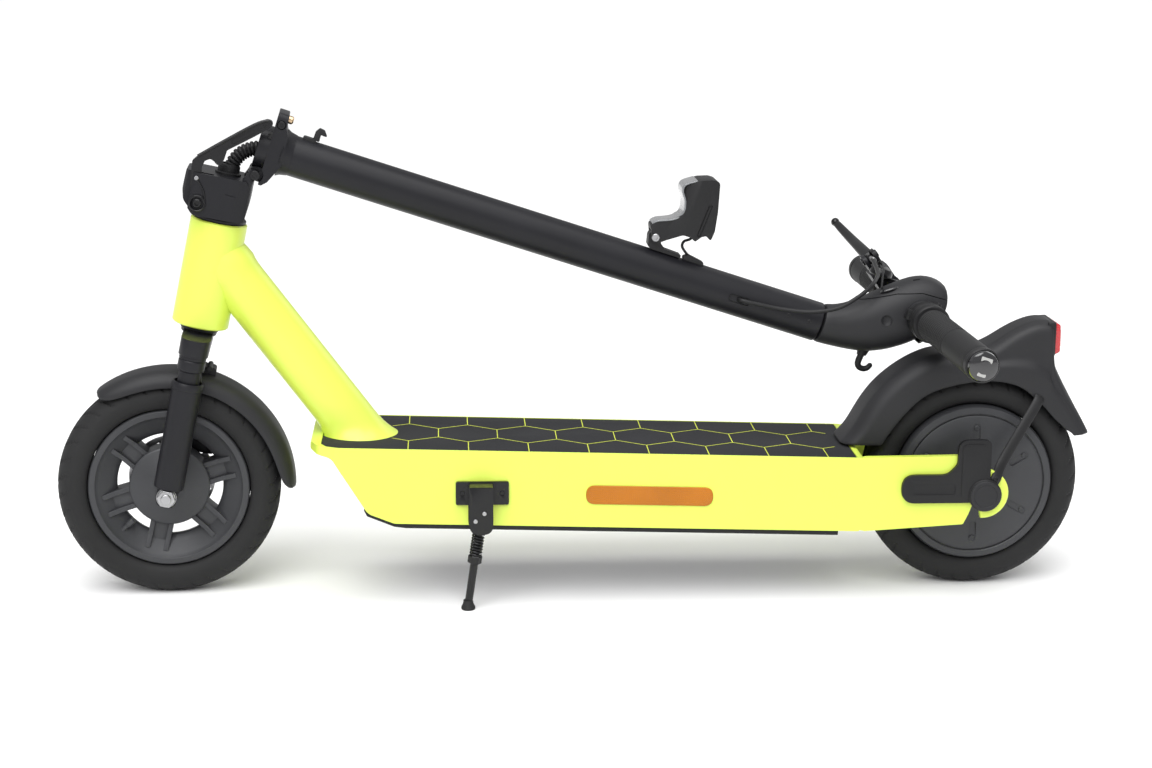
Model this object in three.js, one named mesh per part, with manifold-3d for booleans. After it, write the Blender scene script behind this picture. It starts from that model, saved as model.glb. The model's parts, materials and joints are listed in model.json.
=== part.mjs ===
// Electric kick scooter, folded down onto its deck, with its kickstand out.
// Millimetres. +Z is up, +X points to the rear and +Y to the rider's right.
// The origin is on the ground under the rear axle. Lengths along X are counted from the front axle.
import * as THREE from 'three';
import { mergeVertices } from 'three/addons/utils/BufferGeometryUtils.js';
import Module from 'manifold-3d';

const wasm = await Module();
wasm.setup();

// Driving dimensions.
const wheelbase = 933.5;
const wheelRadius = 127;
const treadHalfWidth = 14;
const rimRadius = 92;
const wheelSides = 40;
const gap = 0.3;

const headAngle = THREE.MathUtils.degToRad(12);
const steeringTurn = THREE.MathUtils.degToRad(2.5);
const foldedAngle = THREE.MathUtils.degToRad(6.2);

const deckTilt = 0.028;
const deckTopAtFront = 193.1;
const deckHeight = 87;
const deckHalfWidth = 80;
const deckStart = 165;
const deckEnd = 795;
const matThickness = 3;
const matHalfWidth = 77.5;

const headTubeRadius = 32;
const headTubeBottom = 192;
const headTubeTop = 314;
const steererRadius = 15.8;
const downTubeRadius = 30;
const downTubeAngle = THREE.MathUtils.degToRad(53.2);

const legSpacing = 50;
const legRadius = 17;
const legTop = 135;
const stanchionRadius = 15;
const crownBottom = 166;
const axleRadius = 6;

const blockTop = 367.3;
const blockHalfWidth = 37;
const hinge = { x: 29.9, z: 375.4 };
const leverPivot = { x: -26.6, z: 333.7 };

const stemRadius = 23;
const stemCentre = hinge.x;
const stemStart = 16.3;
const stemEnd = 672;
const flangeHalfWidth = 25;

const bar = { x: 781, z: 76 };
const barRadius = 11;
const barHalfLength = 268;
const gripRadius = 18.5;
const gripStart = 75;
const gripEnd = 267;

const armInner = 72;
const armOuter = 80;

const kickstandPivot = { x: 356, y: -91, z: 100 };
const kickstandLean = THREE.MathUtils.degToRad(8.1);

// Materials.
function look(color, roughness, metalness = 0) {
  return new THREE.MeshStandardMaterial({ color, roughness, metalness });
}

const neon = look(0xe6f53c, 0.4);
const blackPaint = look(0x2a2b2e, 0.55);
const blackPlastic = look(0x1f2022, 0.6);
const rubber = look(0x141414, 0.85);
const steel = look(0x9a9c9f, 0.35, 1);
const darkMetal = look(0x3a3b3e, 0.45, 0.8);
const matRubber = look(0x2c2d30, 0.9);
const amber = look(0xe07c10, 0.3);
const red = look(0xc01818, 0.3);
const glass = look(0x101216, 0.1);
const packBlue = look(0x2a4f8a, 0.5);
const lensGrey = look(0xc8ccd0, 0.15);

// A closed three.js geometry as a solid, for joining and cutting.
function solid(geometry) {
  const bare = geometry.clone();
  bare.deleteAttribute('normal');
  bare.deleteAttribute('uv');
  const merged = mergeVertices(bare, 1e-3);
  const index = merged.index.array;
  const triangles = [];
  for (let i = 0; i < index.length; i += 3) {
    const [a, b, c] = [index[i], index[i + 1], index[i + 2]];
    if (a !== b && b !== c && c !== a) triangles.push(a, b, c);
  }
  const mesh = new wasm.Mesh({
    numProp: 3,
    vertProperties: new Float32Array(merged.attributes.position.array),
    triVerts: new Uint32Array(triangles),
  });
  return new wasm.Manifold(mesh);
}

function asSolid(shape) {
  return shape.isBufferGeometry ? solid(shape) : shape;
}

function join(first, ...others) {
  return others.reduce((sum, shape) => sum.add(asSolid(shape)), asSolid(first));
}

function cut(first, ...tools) {
  return tools.reduce((rest, tool) => rest.subtract(asSolid(tool)), asSolid(first));
}

function common(first, second) {
  return asSolid(first).intersect(asSolid(second));
}

function toGeometry(shape) {
  const mesh = asSolid(shape).getMesh();
  const geometry = new THREE.BufferGeometry();
  geometry.setAttribute('position', new THREE.BufferAttribute(new Float32Array(mesh.vertProperties), 3));
  geometry.setIndex(new THREE.BufferAttribute(new Uint32Array(mesh.triVerts), 1));
  geometry.computeVertexNormals();
  return geometry;
}

function part(name, shape, material, parent) {
  const mesh = new THREE.Mesh(toGeometry(shape), material);
  mesh.name = name;
  parent.add(mesh);
  return mesh;
}

function box(x0, x1, y0, y1, z0, z1) {
  const geometry = new THREE.BoxGeometry(x1 - x0, y1 - y0, z1 - z0);
  return geometry.translate((x0 + x1) / 2, (y0 + y1) / 2, (z0 + z1) / 2);
}

// A cylinder or cone along x, y or z, with its centre at a and b on the other two axes.
function rod(axis, radius, from, to, a = 0, b = 0, sides = 20, endRadius = radius) {
  const geometry = new THREE.CylinderGeometry(endRadius, radius, to - from, sides);
  const middle = (from + to) / 2;
  if (axis === 'x') return geometry.rotateZ(-Math.PI / 2).translate(middle, a, b);
  if (axis === 'y') return geometry.translate(a, middle, b);
  return geometry.rotateX(Math.PI / 2).translate(a, b, middle);
}

// An outline in x and z, given its thickness from y0 to y1.
function plate(points, y0, y1) {
  const shape = new THREE.Shape(points.map(([x, z]) => new THREE.Vector2(x, z)));
  const geometry = new THREE.ExtrudeGeometry(shape, { depth: y1 - y0, bevelEnabled: false });
  return geometry.rotateX(Math.PI / 2).translate(0, y1, 0);
}

// An outline in x and y, given its thickness from z0 to z1.
function slab(points, z0, z1) {
  const shape = new THREE.Shape(points.map(([x, y]) => new THREE.Vector2(x, y)));
  const geometry = new THREE.ExtrudeGeometry(shape, { depth: z1 - z0, bevelEnabled: false });
  return geometry.translate(0, 0, z0);
}

// A body of revolution about y: the profile gives radius and y. Half a step of turn sets a flat side down.
function turned(profile, sides = wheelSides) {
  const points = profile.map(([r, y]) => new THREE.Vector2(r / Math.cos(Math.PI / sides), y));
  return new THREE.LatheGeometry(points, sides, Math.PI / sides);
}

function tube(points, radius, sides, steps) {
  const section = new THREE.Shape();
  section.absarc(0, 0, radius, 0, 2 * Math.PI);
  const path = new THREE.CatmullRomCurve3(points.map(([x, y, z]) => new THREE.Vector3(x, y, z)));
  const options = { steps, curveSegments: sides / 2, bevelEnabled: false, extrudePath: path };
  return new THREE.ExtrudeGeometry(section, options);
}

function arc(radius, from, to, steps, centre = [0, 0]) {
  const points = [];
  for (let i = 0; i <= steps; i += 1) {
    const angle = THREE.MathUtils.degToRad(from + ((to - from) * i) / steps);
    points.push([centre[0] + radius * Math.cos(angle), centre[1] + radius * Math.sin(angle)]);
  }
  return points;
}

// The line beside an open line of points, on its right-hand side going forwards.
function beside(points, distance) {
  return points.map(([x, z], i) => {
    const [x0, z0] = points[Math.max(i - 1, 0)];
    const [x1, z1] = points[Math.min(i + 1, points.length - 1)];
    const length = Math.hypot(x1 - x0, z1 - z0);
    return [x + (distance * (z1 - z0)) / length, z - (distance * (x1 - x0)) / length];
  });
}

// A closed profile from one half of it, listed from the inside outwards.
function mirroredProfile(half) {
  const other = half.map(([r, y]) => [r, -y]);
  return [...other, ...half.toReversed(), other[0]];
}

const scooter = new THREE.Group();
scooter.position.x = -wheelbase;

// Deck: a box of sheet metal, open below, with its pack and controller inside.
const deck = new THREE.Group();
deck.position.z = deckTopAtFront;
deck.rotation.y = deckTilt;
scooter.add(deck);

const noseStart = [[232, -76], [190, -13], [deckStart, -9], [deckStart, -1]];
const sideProfile = [[262, -deckHeight], ...noseStart, [deckEnd, -1], [deckEnd, -deckHeight]];
const planHalf = [[deckStart, -48], [172, -68], [190, -deckHalfWidth], [deckEnd, -deckHalfWidth]];
const planOutline = [...planHalf, ...planHalf.map(([x, y]) => [x, -y]).reverse()];
const deckCavity = [[212, -7], [deckEnd - 3, -7], [deckEnd - 3, -95], [268, -95], [268, -84], [244, -76]];
const mudguardNotch = [[786, -41], [770, -41]];
const matOutline = [[188, -62], [196, -matHalfWidth], [786, -matHalfWidth], ...mudguardNotch];
const matPlan = [...matOutline, ...matOutline.map(([x, y]) => [x, -y]).reverse()];
const matRecess = box(187.5, 786.5, -matHalfWidth - 0.5, matHalfWidth + 0.5, -matThickness - gap, 5);
const footHole = rod('z', 48, -20, 10, 219, 0, 28);
const footRecess = rod('z', 48, -matThickness - gap, 10, 219, 0, 28);

const deckBlank = common(plate(sideProfile, -deckHalfWidth, deckHalfWidth), slab(planOutline, -100, 10));
part('deck_shell', cut(deckBlank, plate(deckCavity, -77, 77), matRecess, footRecess), neon, deck);
part('deck_mat', cut(slab(matPlan, -matThickness, 0), footHole), matRubber, deck);
part('bottom_cover', box(263, 770, -74, 74, -deckHeight - 6, -deckHeight - gap), blackPlastic, deck);
part('battery_pack', box(290, 640, -62, 62, -80, -16), packBlue, deck);
part('motor_controller', box(662, 768, -46, 46, -74, -34), darkMetal, deck);

for (const [side, sign] of [['left', -1], ['right', 1]]) {
  const ends = [...arc(11, -90, 90, 6, [612, -48.7]), ...arc(11, 90, 270, 6, [489, -48.7])];
  const [near, far] = [deckHalfWidth + gap, deckHalfWidth + 2.3].map((y) => sign * y).sort((a, b) => a - b);
  part(`side_reflector_${side}`, plate(ends, near, far), amber, deck);
}

// Head tube, headset and fork stand on the steering axis, which passes through the front axle.
const frontEnd = new THREE.Group();
frontEnd.position.z = wheelRadius;
frontEnd.rotation.y = headAngle;
scooter.add(frontEnd);

const headTubeOuter = rod('z', headTubeRadius, headTubeBottom, headTubeTop, 0, 0, 32);
part('head_tube', cut(headTubeOuter, rod('z', 22, headTubeBottom - 5, headTubeTop + 5)), neon, frontEnd);

for (const [name, radius, z0, z1] of [
  ['headset_bearing_bottom', 22, headTubeBottom - 6, headTubeBottom - gap],
  ['headset_bearing_top', 30, headTubeTop + gap, headTubeTop + 4.4],
]) {
  part(name, cut(rod('z', radius, z0, z1), rod('z', steererRadius + 0.4, z0 - 5, z1 + 5)), steel, frontEnd);
}

// Down tube: meets the head tube at the top and flares out on the deck.
const downTubeStart = [55.5, 403.4];
const downTubeLine = rod('x', downTubeRadius, 0, 300, 0, 0, 24).rotateY(downTubeAngle);
downTubeLine.translate(downTubeStart[0], 0, downTubeStart[1]);
const foot = rod('z', 46, -12, 16, 219, 0, 28, 35).rotateY(deckTilt).translate(0, 0, deckTopAtFront);
const belowFoot = box(0, 500, -100, 100, -200, -matThickness).rotateY(deckTilt).translate(0, 0, deckTopAtFront);
const headTubeSpace = rod('z', headTubeRadius + gap, 100, 400, 0, 0, 32).rotateY(headAngle);
headTubeSpace.translate(0, 0, wheelRadius);
part('down_tube', cut(join(downTubeLine, foot), belowFoot, headTubeSpace), neon, scooter);

// Rear arms, axle and covers.
const axleHole = rod('y', axleRadius + 0.4, -100, 100, wheelbase, wheelRadius, 20);
const armOutline = [[796, 84], [912, 91], [936, 98], [950, 152], [903, 172], [796, 171]];
const tongue = [...arc(16.5, 90, 270, 8, [854, 134.5]), [910, 118], [910, 151]];
const upright = [[901, 118], [939, 118], [939, 180], [931, 191], [909, 191], [901, 180]];

for (const [side, sign] of [['left', -1], ['right', 1]]) {
  const across = (a, b) => [sign * a, sign * b].sort((p, q) => p - q);
  const dropout = rod('y', 30, ...across(armInner, armOuter), wheelbase, wheelRadius);
  const arm = join(plate(armOutline, ...across(armInner, armOuter)), dropout);
  part(`rear_arm_${side}`, cut(arm, axleHole), neon, scooter);

  const coverSpan = across(armOuter + gap, armOuter + 6);
  const boss = rod('y', 19, ...coverSpan, wheelbase, wheelRadius);
  const cover = join(plate(tongue, ...coverSpan), plate(upright, ...coverSpan), boss);
  part(`axle_cover_${side}`, cut(cover, axleHole), blackPlastic, scooter);

  const stayRoute = [[1003, 41, 229], [1000, 43, 224], [978, 55, 192], [956, 66.5, 160], [949, 67, 150]];
  const stay = tube(stayRoute.map(([x, y, z]) => [x, sign * y, z]), 4, 8, 8);
  part(`mudguard_stay_${side}`, stay, blackPlastic, scooter);
}

const rearCaps = [-1, 1].map((sign) => {
  const [from, to] = [sign * 85, sign * 90].sort((p, q) => p - q);
  return cut(rod('y', 15, from, to, wheelbase, wheelRadius), box(900, 960, -86.3, 86.3, 100, 150));
});
part('rear_axle', join(rod('y', axleRadius, -89, 89, wheelbase, wheelRadius, 20), ...rearCaps), steel, scooter);

// Rear mudguard: a shell over the wheel, with a saddle that the folded handlebar passes over.
const frontRidge = [[773, 172.5], [789, 190], [800, 213], [817, 238], [840, 258], [865, 273], [885, 281]];
const hump = [[935, 283], [952, 291], [968, 303], [985, 312], [1002, 318], [1021.6, 316]];
const tail = [[1021.6, 272], [1038, 240], [1059, 202], [1069, 183]];
const ridge = [...frontRidge, ...hump, ...tail];
const skirt = [[1047, 183], [1040, 200], [1022, 222], [1000, 238], [970, 247], [935, 250], [901, 244]];
const frontSkirt = [[866, 230], [838, 198], [822, 172.5]];
const mudguardHalfWidth = 38;
const wallThickness = 3.5;
const wheelWell = [...beside(ridge, wallThickness), [1075, 100], [760, 100]];
const mudguardBlank = plate([...ridge, ...skirt, ...frontSkirt], -mudguardHalfWidth, mudguardHalfWidth);
const wellInside = plate(wheelWell, wallThickness - mudguardHalfWidth, mudguardHalfWidth - wallThickness);
part('rear_mudguard', cut(mudguardBlank, wellInside), blackPlastic, scooter);

const tailLight = [[1022.1, 315.6], [1029.6, 311.5], [1030, 280], [1022.1, 276]];
part('tail_light', plate(tailLight, -22, 22), red, scooter);

// Rear wheel: hub motor and tyre.
const tyreHalf = [[rimRadius + 0.4, 22], [97, 27], [108, 29], [119, 24], [wheelRadius, treadHalfWidth]];
const tyreProfile = mirroredProfile(tyreHalf);
const motorHalf = [[axleRadius + 0.4, 46], [20, 46], [24, 38], [70, 36], [82, 28], [rimRadius, 24]];

const rearWheel = new THREE.Group();
rearWheel.position.set(wheelbase, 0, wheelRadius);
scooter.add(rearWheel);
part('rear_tyre', turned(tyreProfile), rubber, rearWheel);
part('motor_hub', turned(mirroredProfile(motorHalf)), darkMetal, rearWheel);

// Kickstand.
const standPin = rod('y', 3, -98, -84, kickstandPivot.x, kickstandPivot.z, 16);
const standTab = plate([[344, 100], [371, 100], [371, 124], [344, 124]], -83.4, -80.3);
const standLug = rod('y', 8, -86.4, -81, kickstandPivot.x, kickstandPivot.z, 20);
const standPlate = plate([[329, 121], [389, 121], [389, 148], [329, 148]], -84, -80.3);
part('kickstand_bracket', join(standPlate, standTab, standLug, standPin), blackPaint, scooter);

const stand = new THREE.Group();
stand.position.set(kickstandPivot.x, kickstandPivot.y, kickstandPivot.z);
stand.rotation.y = kickstandLean;
scooter.add(stand);
const standBarrel = rod('y', 8, -4, 4, 0, 0, 20);
const standRod = rod('z', 4.5, -90.6, -4, 0, 0, 16);
const standCollar = rod('z', 8, -44, -34, 0, 0, 20);
const standLeg = cut(join(standBarrel, standRod, standCollar), rod('y', 3.4, -10, 10, 0, 0, 16));
part('kickstand_leg', standLeg, blackPaint, stand);
const springSleeve = cut(rod('z', 6.8, -33.6, -8.6, 0, 0, 20), rod('z', 4.8, -40, 0, 0, 0, 16));
part('kickstand_spring', springSleeve, steel, stand);
const footX = kickstandPivot.x - 95 * Math.tan(kickstandLean);
part('kickstand_foot', rod('z', 8, 0, 9.2, footX, kickstandPivot.y, 20, 6.5), rubber, scooter);

// Everything that steers is turned a little in the head tube.
const steering = new THREE.Group();
steering.rotation.z = steeringTurn;
frontEnd.add(steering);

const steerer = rod('z', steererRadius, crownBottom + 20, 349);
part('steerer_tube', cut(steerer, rod('z', 12, crownBottom, 360)), darkMetal, steering);

const crownOutline = [...arc(17, -180, 0, 8, [0, -legSpacing]), ...arc(17, 0, 180, 8, [0, legSpacing])];
part('fork_crown', slab(crownOutline, crownBottom, crownBottom + 19.5), blackPaint, steering);

for (const [side, sign] of [['left', -1], ['right', 1]]) {
  const y = sign * legSpacing;
  part(`fork_stanchion_${side}`, rod('z', stanchionRadius, 60, crownBottom - gap, 0, y, 24), blackPaint, steering);
}

// Hinge block with its slot for the lever and its two rear knuckles.
const blockFront = [[-45, blockTop], [-46, 345], [-42, 332], [-28, 319.2]];
const blockRear = [[28, 319.2], [30, 345], [30, 356], [22, blockTop]];
const blockBody = plate([...blockFront, ...blockRear], -blockHalfWidth, blockHalfWidth);
const knuckleOutline = [[20, 356], [21.8, 367], [25, 382], [30, 383], [30, 375.4], [34, 368.5], [30, 356]];
const knuckles = [-1, 1].map((sign) => {
  const [from, to] = [sign * 14, sign * 30].sort((p, q) => p - q);
  return join(plate(knuckleOutline, from, to), rod('y', 8.5, from, to, hinge.x, hinge.z, 24));
});
const cableNut = rod('z', 13, blockTop - 2, blockTop + 12, 0, 0, 24);
const steererSocket = rod('z', steererRadius + 0.4, 300, 349.4);
const cableChannel = rod('z', 8.5, 340, 400);
const leverSlot = box(-50, -14, -33.8, -25.3, 318, 400);
const centreKnuckleSpace = rod('y', 9.4, -13.8, 13.8, hinge.x, hinge.z);
const hingeBore = rod('y', 4.3, -50, 50, hinge.x, hinge.z, 20);
const leverStud = rod('y', 3, -36, -24, leverPivot.x, leverPivot.z, 16);
const blockSolid = join(blockBody, ...knuckles, cableNut);
const blockTools = [steererSocket, cableChannel, leverSlot, centreKnuckleSpace, hingeBore];
part('hinge_block', join(cut(blockSolid, ...blockTools), leverStud), blackPaint, steering);
part('hinge_pin', rod('y', 4, -30, 30, hinge.x, hinge.z, 20), steel, steering);

// Fold lever: pivots low in the block and leans back over it, with a hook notch above the block.
const leverBack = [[-19, 340], [-27, 360], [-29, 374], [-27, 382], [-21, 385], [-16, 383], [-13, 379], [-8, 380]];
const leverUnder = [[-2.8, 384.5], [8.2, 398.3], [25.7, 413.3], [38, 429]];
const leverTip = [[39, 434.5], [34, 437], [26, 436], [10, 424], [-15, 405], [-34, 388]];
const leverFront = [[-40, 379], [-39, 362], [-36, 345], [-34, 330]];
const leverPlate = plate([...leverBack, ...leverUnder, ...leverTip, ...leverFront], -33.5, -25.6);
const leverHub = rod('y', 9, -33.5, -25.6, leverPivot.x, leverPivot.z, 24);
const leverBore = rod('y', 3.4, -50, 0, leverPivot.x, leverPivot.z, 16);
part('fold_lever', cut(join(leverPlate, leverHub), leverBore), blackPaint, steering);

// Lower fork: sliding legs with the axle, mudguard and brake caliper.
function forkLeg(sign) {
  const y = sign * legSpacing;
  const shaft = rod('z', legRadius, -8, legTop - 8, 0, y);
  const toe = rod('z', 10, -16, -8, 0, y, 28, legRadius);
  const collar = rod('z', legRadius + 1, legTop - 9, legTop, 0, y);
  const bore = rod('z', stanchionRadius + 0.6, 36, legTop + 10, 0, y, 24);
  return cut(join(shaft, toe, collar), bore, rod('y', axleRadius + gap, -80, 80, 0, 0, 20));
}
part('fork_leg_left', forkLeg(-1), blackPaint, steering);
part('fork_leg_right', forkLeg(1), blackPaint, steering);

const nuts = [-1, 1].map((sign) => {
  const [from, to] = [sign * (legSpacing + legRadius + gap), sign * 71].sort((p, q) => p - q);
  return rod('y', 11, from, to, 0, 0, 6);
});
const spacers = [rod('y', 9, -31.7, -20.6), rod('y', 9, 28.6, 31.7)];
part('front_axle', join(rod('y', axleRadius, -72, 72, 0, 0, 20), ...nuts, ...spacers), steel, steering);

const fenderOuter = [...arc(142, 10, 139, 14), ...arc(124, 139, 10, 14)];
const fenderInner = [...arc(138.5, 5, 145, 14), ...arc(110, 145, 5, 14)];
const fender = cut(plate(fenderOuter, -31.5, 31.5), plate(fenderInner, -29.8, 29.8));
part('front_fender', fender, blackPlastic, steering);

const caliperSlot = common(rod('y', 67.5, 24.8, 29.2, 0, 0, 40), box(0, 60, 20, 32, 20, 80));
const caliperBody = box(14, 44, 22.6, 31.8, 36, 64);
part('brake_caliper', cut(caliperBody, caliperSlot), blackPaint, steering);

// Front wheel: turned back so that its flat sides meet the ground.
const frontWheel = new THREE.Group();
frontWheel.rotation.y = -headAngle;
steering.add(frontWheel);
part('front_tyre', turned(tyreProfile), rubber, frontWheel);

const rimRing = turned(mirroredProfile([[61, 5], [66, 8], [80, 19], [rimRadius, 22]]));
const hub = rod('y', 46, -14, 14, 0, 0, 28);
const hubBoss = rod('y', 20, -20, 20, 0, 0, 24);
const ribs = [];
for (let i = 0; i < 6; i += 1) {
  for (const offset of [-11, 11]) {
    const rib = box(38, 73, -11, 11, offset - 3.5, offset + 3.5);
    ribs.push(rib.rotateY(THREE.MathUtils.degToRad(60 * i - 17)));
  }
}
const rimSolid = join(rimRing, hub, hubBoss, ...ribs);
part('front_rim', cut(rimSolid, rod('y', axleRadius + 0.4, -40, 40, 0, 0, 20)), darkMetal, frontWheel);

const disc = join(rod('y', 65, 26, 28, 0, 0, 36), rod('y', 26, 20.4, 28, 0, 0, 24));
part('brake_disc', cut(disc, rod('y', 9.4, 10, 40, 0, 0, 24)), steel, frontWheel);

// Stem: x runs along it from the hinge, z is the side that faces forwards when it stands up.
const stem = new THREE.Group();
stem.position.set(hinge.x, 0, hinge.z);
stem.rotation.y = foldedAngle;
steering.add(stem);

const flangeRing = cut(rod('x', 25, -6.9, 8, 0, stemCentre, 28), rod('x', 15, -20, 6, 0, stemCentre));
const flangeSide = [[6, 75], [16, 75], [16, 6], [9.5, -9.5], [6, -9.5]];
const flangePlate = plate(flangeSide, -flangeHalfWidth, flangeHalfWidth);
const centreKnuckle = join(rod('y', 8, -13.4, 13.4), box(0, 8, -13.4, 13.4, -8, 8));
const knuckleSpaces = [-1, 1].map((sign) => {
  const [from, to] = [sign * 13.6, sign * 40].sort((p, q) => p - q);
  return rod('y', 9.2, from, to);
});
const flange = cut(join(flangeRing, flangePlate), rod('x', 12.5, -20, 30, 0, stemCentre), ...knuckleSpaces);
part('stem_flange', cut(join(flange, centreKnuckle), rod('y', 4.3, -50, 50, 0, 0, 20)), blackPaint, stem);

const stemOuter = rod('x', stemRadius, stemStart, stemEnd, 0, stemCentre, 28);
const stemBore = rod('x', 20, 0, 700, 0, stemCentre, 28);
const cablePort = rod('y', 4, -40, 0, 569, stemCentre, 16);
part('stem_tube', cut(stemOuter, stemBore, cablePort), blackPaint, stem);

// Head at the top of the stem, with its display.
const headUnder = [[672.6, 7], [700, 8], [735, 13], [760, 24], [785, 42], [810, 74]];
const headOver = [[812, 96], [803, 112], [780, 117], [752, 106], [732, 90], [712, 71], [692, 58], [672.6, 53]];
const barHole = rod('y', 16.4, -60, 60, bar.x, bar.z);
const headBlank = plate([...headUnder, ...headOver], -30, 30);
part('handlebar_head', cut(headBlank, barHole), blackPlastic, stem);

const displayTilt = THREE.MathUtils.degToRad(-52);
const displayPlate = box(-16, 16, -24, 24, -2.4, -0.4).rotateY(displayTilt).translate(797.5, 0, 58);
const buttonSpace = rod('z', 5.6, -10, 10, -9, 0, 20).rotateY(displayTilt).translate(797.5, 0, 58);
part('display', cut(displayPlate, buttonSpace), glass, stem);
const button = rod('z', 5, -5.2, -2, -9, 0, 20).rotateY(displayTilt).translate(797.5, 0, 58);
part('power_button', button, blackPlastic, stem);

const hookShape = [[736, 9], [746, 9], [743, 1], [744, -5], [750, -6], [752, -2], [756, -4], [753, -10]];
const hookBack = [[744, -12], [738, -8], [736, 0]];
const hookBlank = plate([...hookShape, ...hookBack], -3.5, 3.5);
const hookCutter = plate([[660, 8], [700, 7.7], [735, 12.7], [760, 24], [760, 40], [660, 40]], -10, 10);
part('bag_hook', cut(hookBlank, hookCutter), blackPlastic, stem);

// Handlebar with grips, end indicators and controls.
const barTube = rod('y', barRadius, -barHalfLength, barHalfLength, bar.x, bar.z, 24);
const barCentre = rod('y', 16, -46, 46, bar.x, bar.z, 28);
part('handlebar', join(barTube, barCentre), blackPaint, stem);

for (const [side, sign] of [['left', -1], ['right', 1]]) {
  const across = (a, b) => [sign * a, sign * b].sort((p, q) => p - q);
  const start = side === 'left' ? gripStart : 140;
  const sleeve = rod('y', gripRadius, ...across(start, gripEnd), bar.x, bar.z, 24);
  const inside = rod('y', barRadius + gap, -300, 300, bar.x, bar.z, 24);
  part(`grip_${side}`, cut(sleeve, inside), rubber, stem);
  const lamp = rod('y', 19, ...across(barHalfLength + gap, 285), bar.x, bar.z, 28);
  part(`end_indicator_${side}`, lamp, lensGrey, stem);
}

// Brake: in its own frame x points from the bar to the lever's pivot and z is the pivot's axis.
const brake = new THREE.Group();
brake.position.set(bar.x, 0, bar.z);
brake.rotation.y = THREE.MathUtils.degToRad(-143.13);
stem.add(brake);

const brakePivot = { x: 55, y: 113 };
const perchRing = rod('y', 17, 100, 126, 0, 0, 24);
const perchArm = box(12, 62, 102, 124, -9, 9);
const perchBore = rod('y', barRadius + gap, 90, 140, 0, 0, 24);
const perchSlot = box(44, 70, 98, 128, -4.4, 4.4);
const perchPin = rod('z', 2.5, -8, 8, brakePivot.x, brakePivot.y, 12);
part('brake_perch', join(cut(join(perchRing, perchArm), perchBore, perchSlot), perchPin), blackPaint, brake);

const bladeRoute = [[56, 116, 0], [61, 140, 0], [70, 182, 0], [80, 222, 0], [84, 238, 0]];
const leverRoot = join(rod('z', 7, -4, 4, brakePivot.x, brakePivot.y, 20), tube(bladeRoute, 3.9, 8, 8));
const leverHole = rod('z', 2.9, -10, 10, brakePivot.x, brakePivot.y, 12);
part('brake_lever', cut(leverRoot, leverHole), blackPaint, brake);

const bellDome = rod('z', 14, 95, 108, 748, 82, 28, 9);
const bellFoot = join(box(744, 781, 76, 88, 86, 97), rod('y', 15, 76, 88, bar.x, bar.z, 24));
const bellBore = rod('y', barRadius + gap, 60, 98, bar.x, bar.z, 24);
part('bell', cut(join(bellDome, bellFoot), bellBore), blackPlastic, stem);

// Thumb throttle: a ring that turns on the bar, with its paddle behind the bar.
const throttle = new THREE.Group();
throttle.position.set(bar.x, 0, bar.z);
stem.add(throttle);
const throttleRing = rod('y', 17, -72, -52, 0, 0, 24);
const paddle = plate([[6, -14], [14, -6], [25, -17], [24, -22], [18, -24]], -72, -58);
const throttleBore = rod('y', barRadius + gap, -80, -40, 0, 0, 24);
part('throttle_paddle', cut(join(throttleRing, paddle), throttleBore), blackPlastic, throttle);

// Brake cable: out of the stem, along its left side, over the head and into the brake.
const cableStart = [[568, -17, 30], [569.5, -24, 30.2], [575, -28, 31], [592, -29, 32.5], [618, -30.5, 35.5]];
const cableMiddle = [[650, -35, 43], [678, -38, 57], [697, -36, 76], [710, -26, 91], [719, -6, 99]];
const cableEnd = [[726, 18, 103], [730, 44, 106], [733, 72, 109], [735, 90, 110], [736, 101.6, 110]];
part('brake_cable', tube([...cableStart, ...cableMiddle, ...cableEnd], 2.4, 8, 30), blackPlastic, stem);

// Lamp on its bracket: it tilts about the bracket's lug.
const lampPivot = { x: 454, z: 68 };
const bracketShape = [[448, 57], [452, 53.3], [489, 53.3], [489, 57.5], [468, 58], [462, 64]];
const bracketFoot = plate([...bracketShape, [460, 72], [450, 73], [446, 66]], -8, 8);
const bracketLug = rod('y', 7.5, -8, 8, lampPivot.x, lampPivot.z, 20);
const bracketBore = rod('y', 3.2, -10, 10, lampPivot.x, lampPivot.z, 16);
part('lamp_bracket', cut(join(bracketFoot, bracketLug), bracketBore), blackPlastic, stem);

const lampLens = [[446, 74], [444, 82], [474, 98], [478, 108], [467, 128], [470, 134]];
const lampBack = [[497, 149.5], [509, 150], [518, 117], [520, 93], [518, 82], [497, 76], [482, 78.5]];
const lampBlank = plate([...lampLens, ...lampBack, [466, 66], [458, 63]].reverse(), -21, 21);
const bracketSpace = rod('y', 10, -8.4, 8.4, lampPivot.x, lampPivot.z, 24);
const lampPin = rod('y', 2.8, -12, 12, lampPivot.x, lampPivot.z, 16);
const lampSides = [-1, 1].map((sign) => {
  const [from, to] = [sign * 13, sign * 30].sort((p, q) => p - q);
  return box(430, 466, from, to, 60, 78);
});
part('lamp', join(cut(lampBlank, bracketSpace, ...lampSides), lampPin), blackPlastic, stem);

// Corrugated conduit: carries the cables across the fold, from the block into the stem.
const conduitRoute = [[0, 0, 372], [0.5, 0, 384], [6, 0, 396.5], [16, 0, 404], [29, 0, 405.7], [43, 0, 404]];
part('cable_conduit', tube(conduitRoute, 8, 12, 12), blackPlastic, steering);

export default scooter;
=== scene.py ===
"""Electric kick scooter: the looks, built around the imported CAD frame.

Each place below is a local frame in millimetres, taken from the record's joints and mounts, so that a shape
is drawn in the same coordinates as its CAD part and lands where the CAD says.
"""

import json
import math

import bmesh
import bpy
from mathutils import Matrix, Vector


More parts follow.
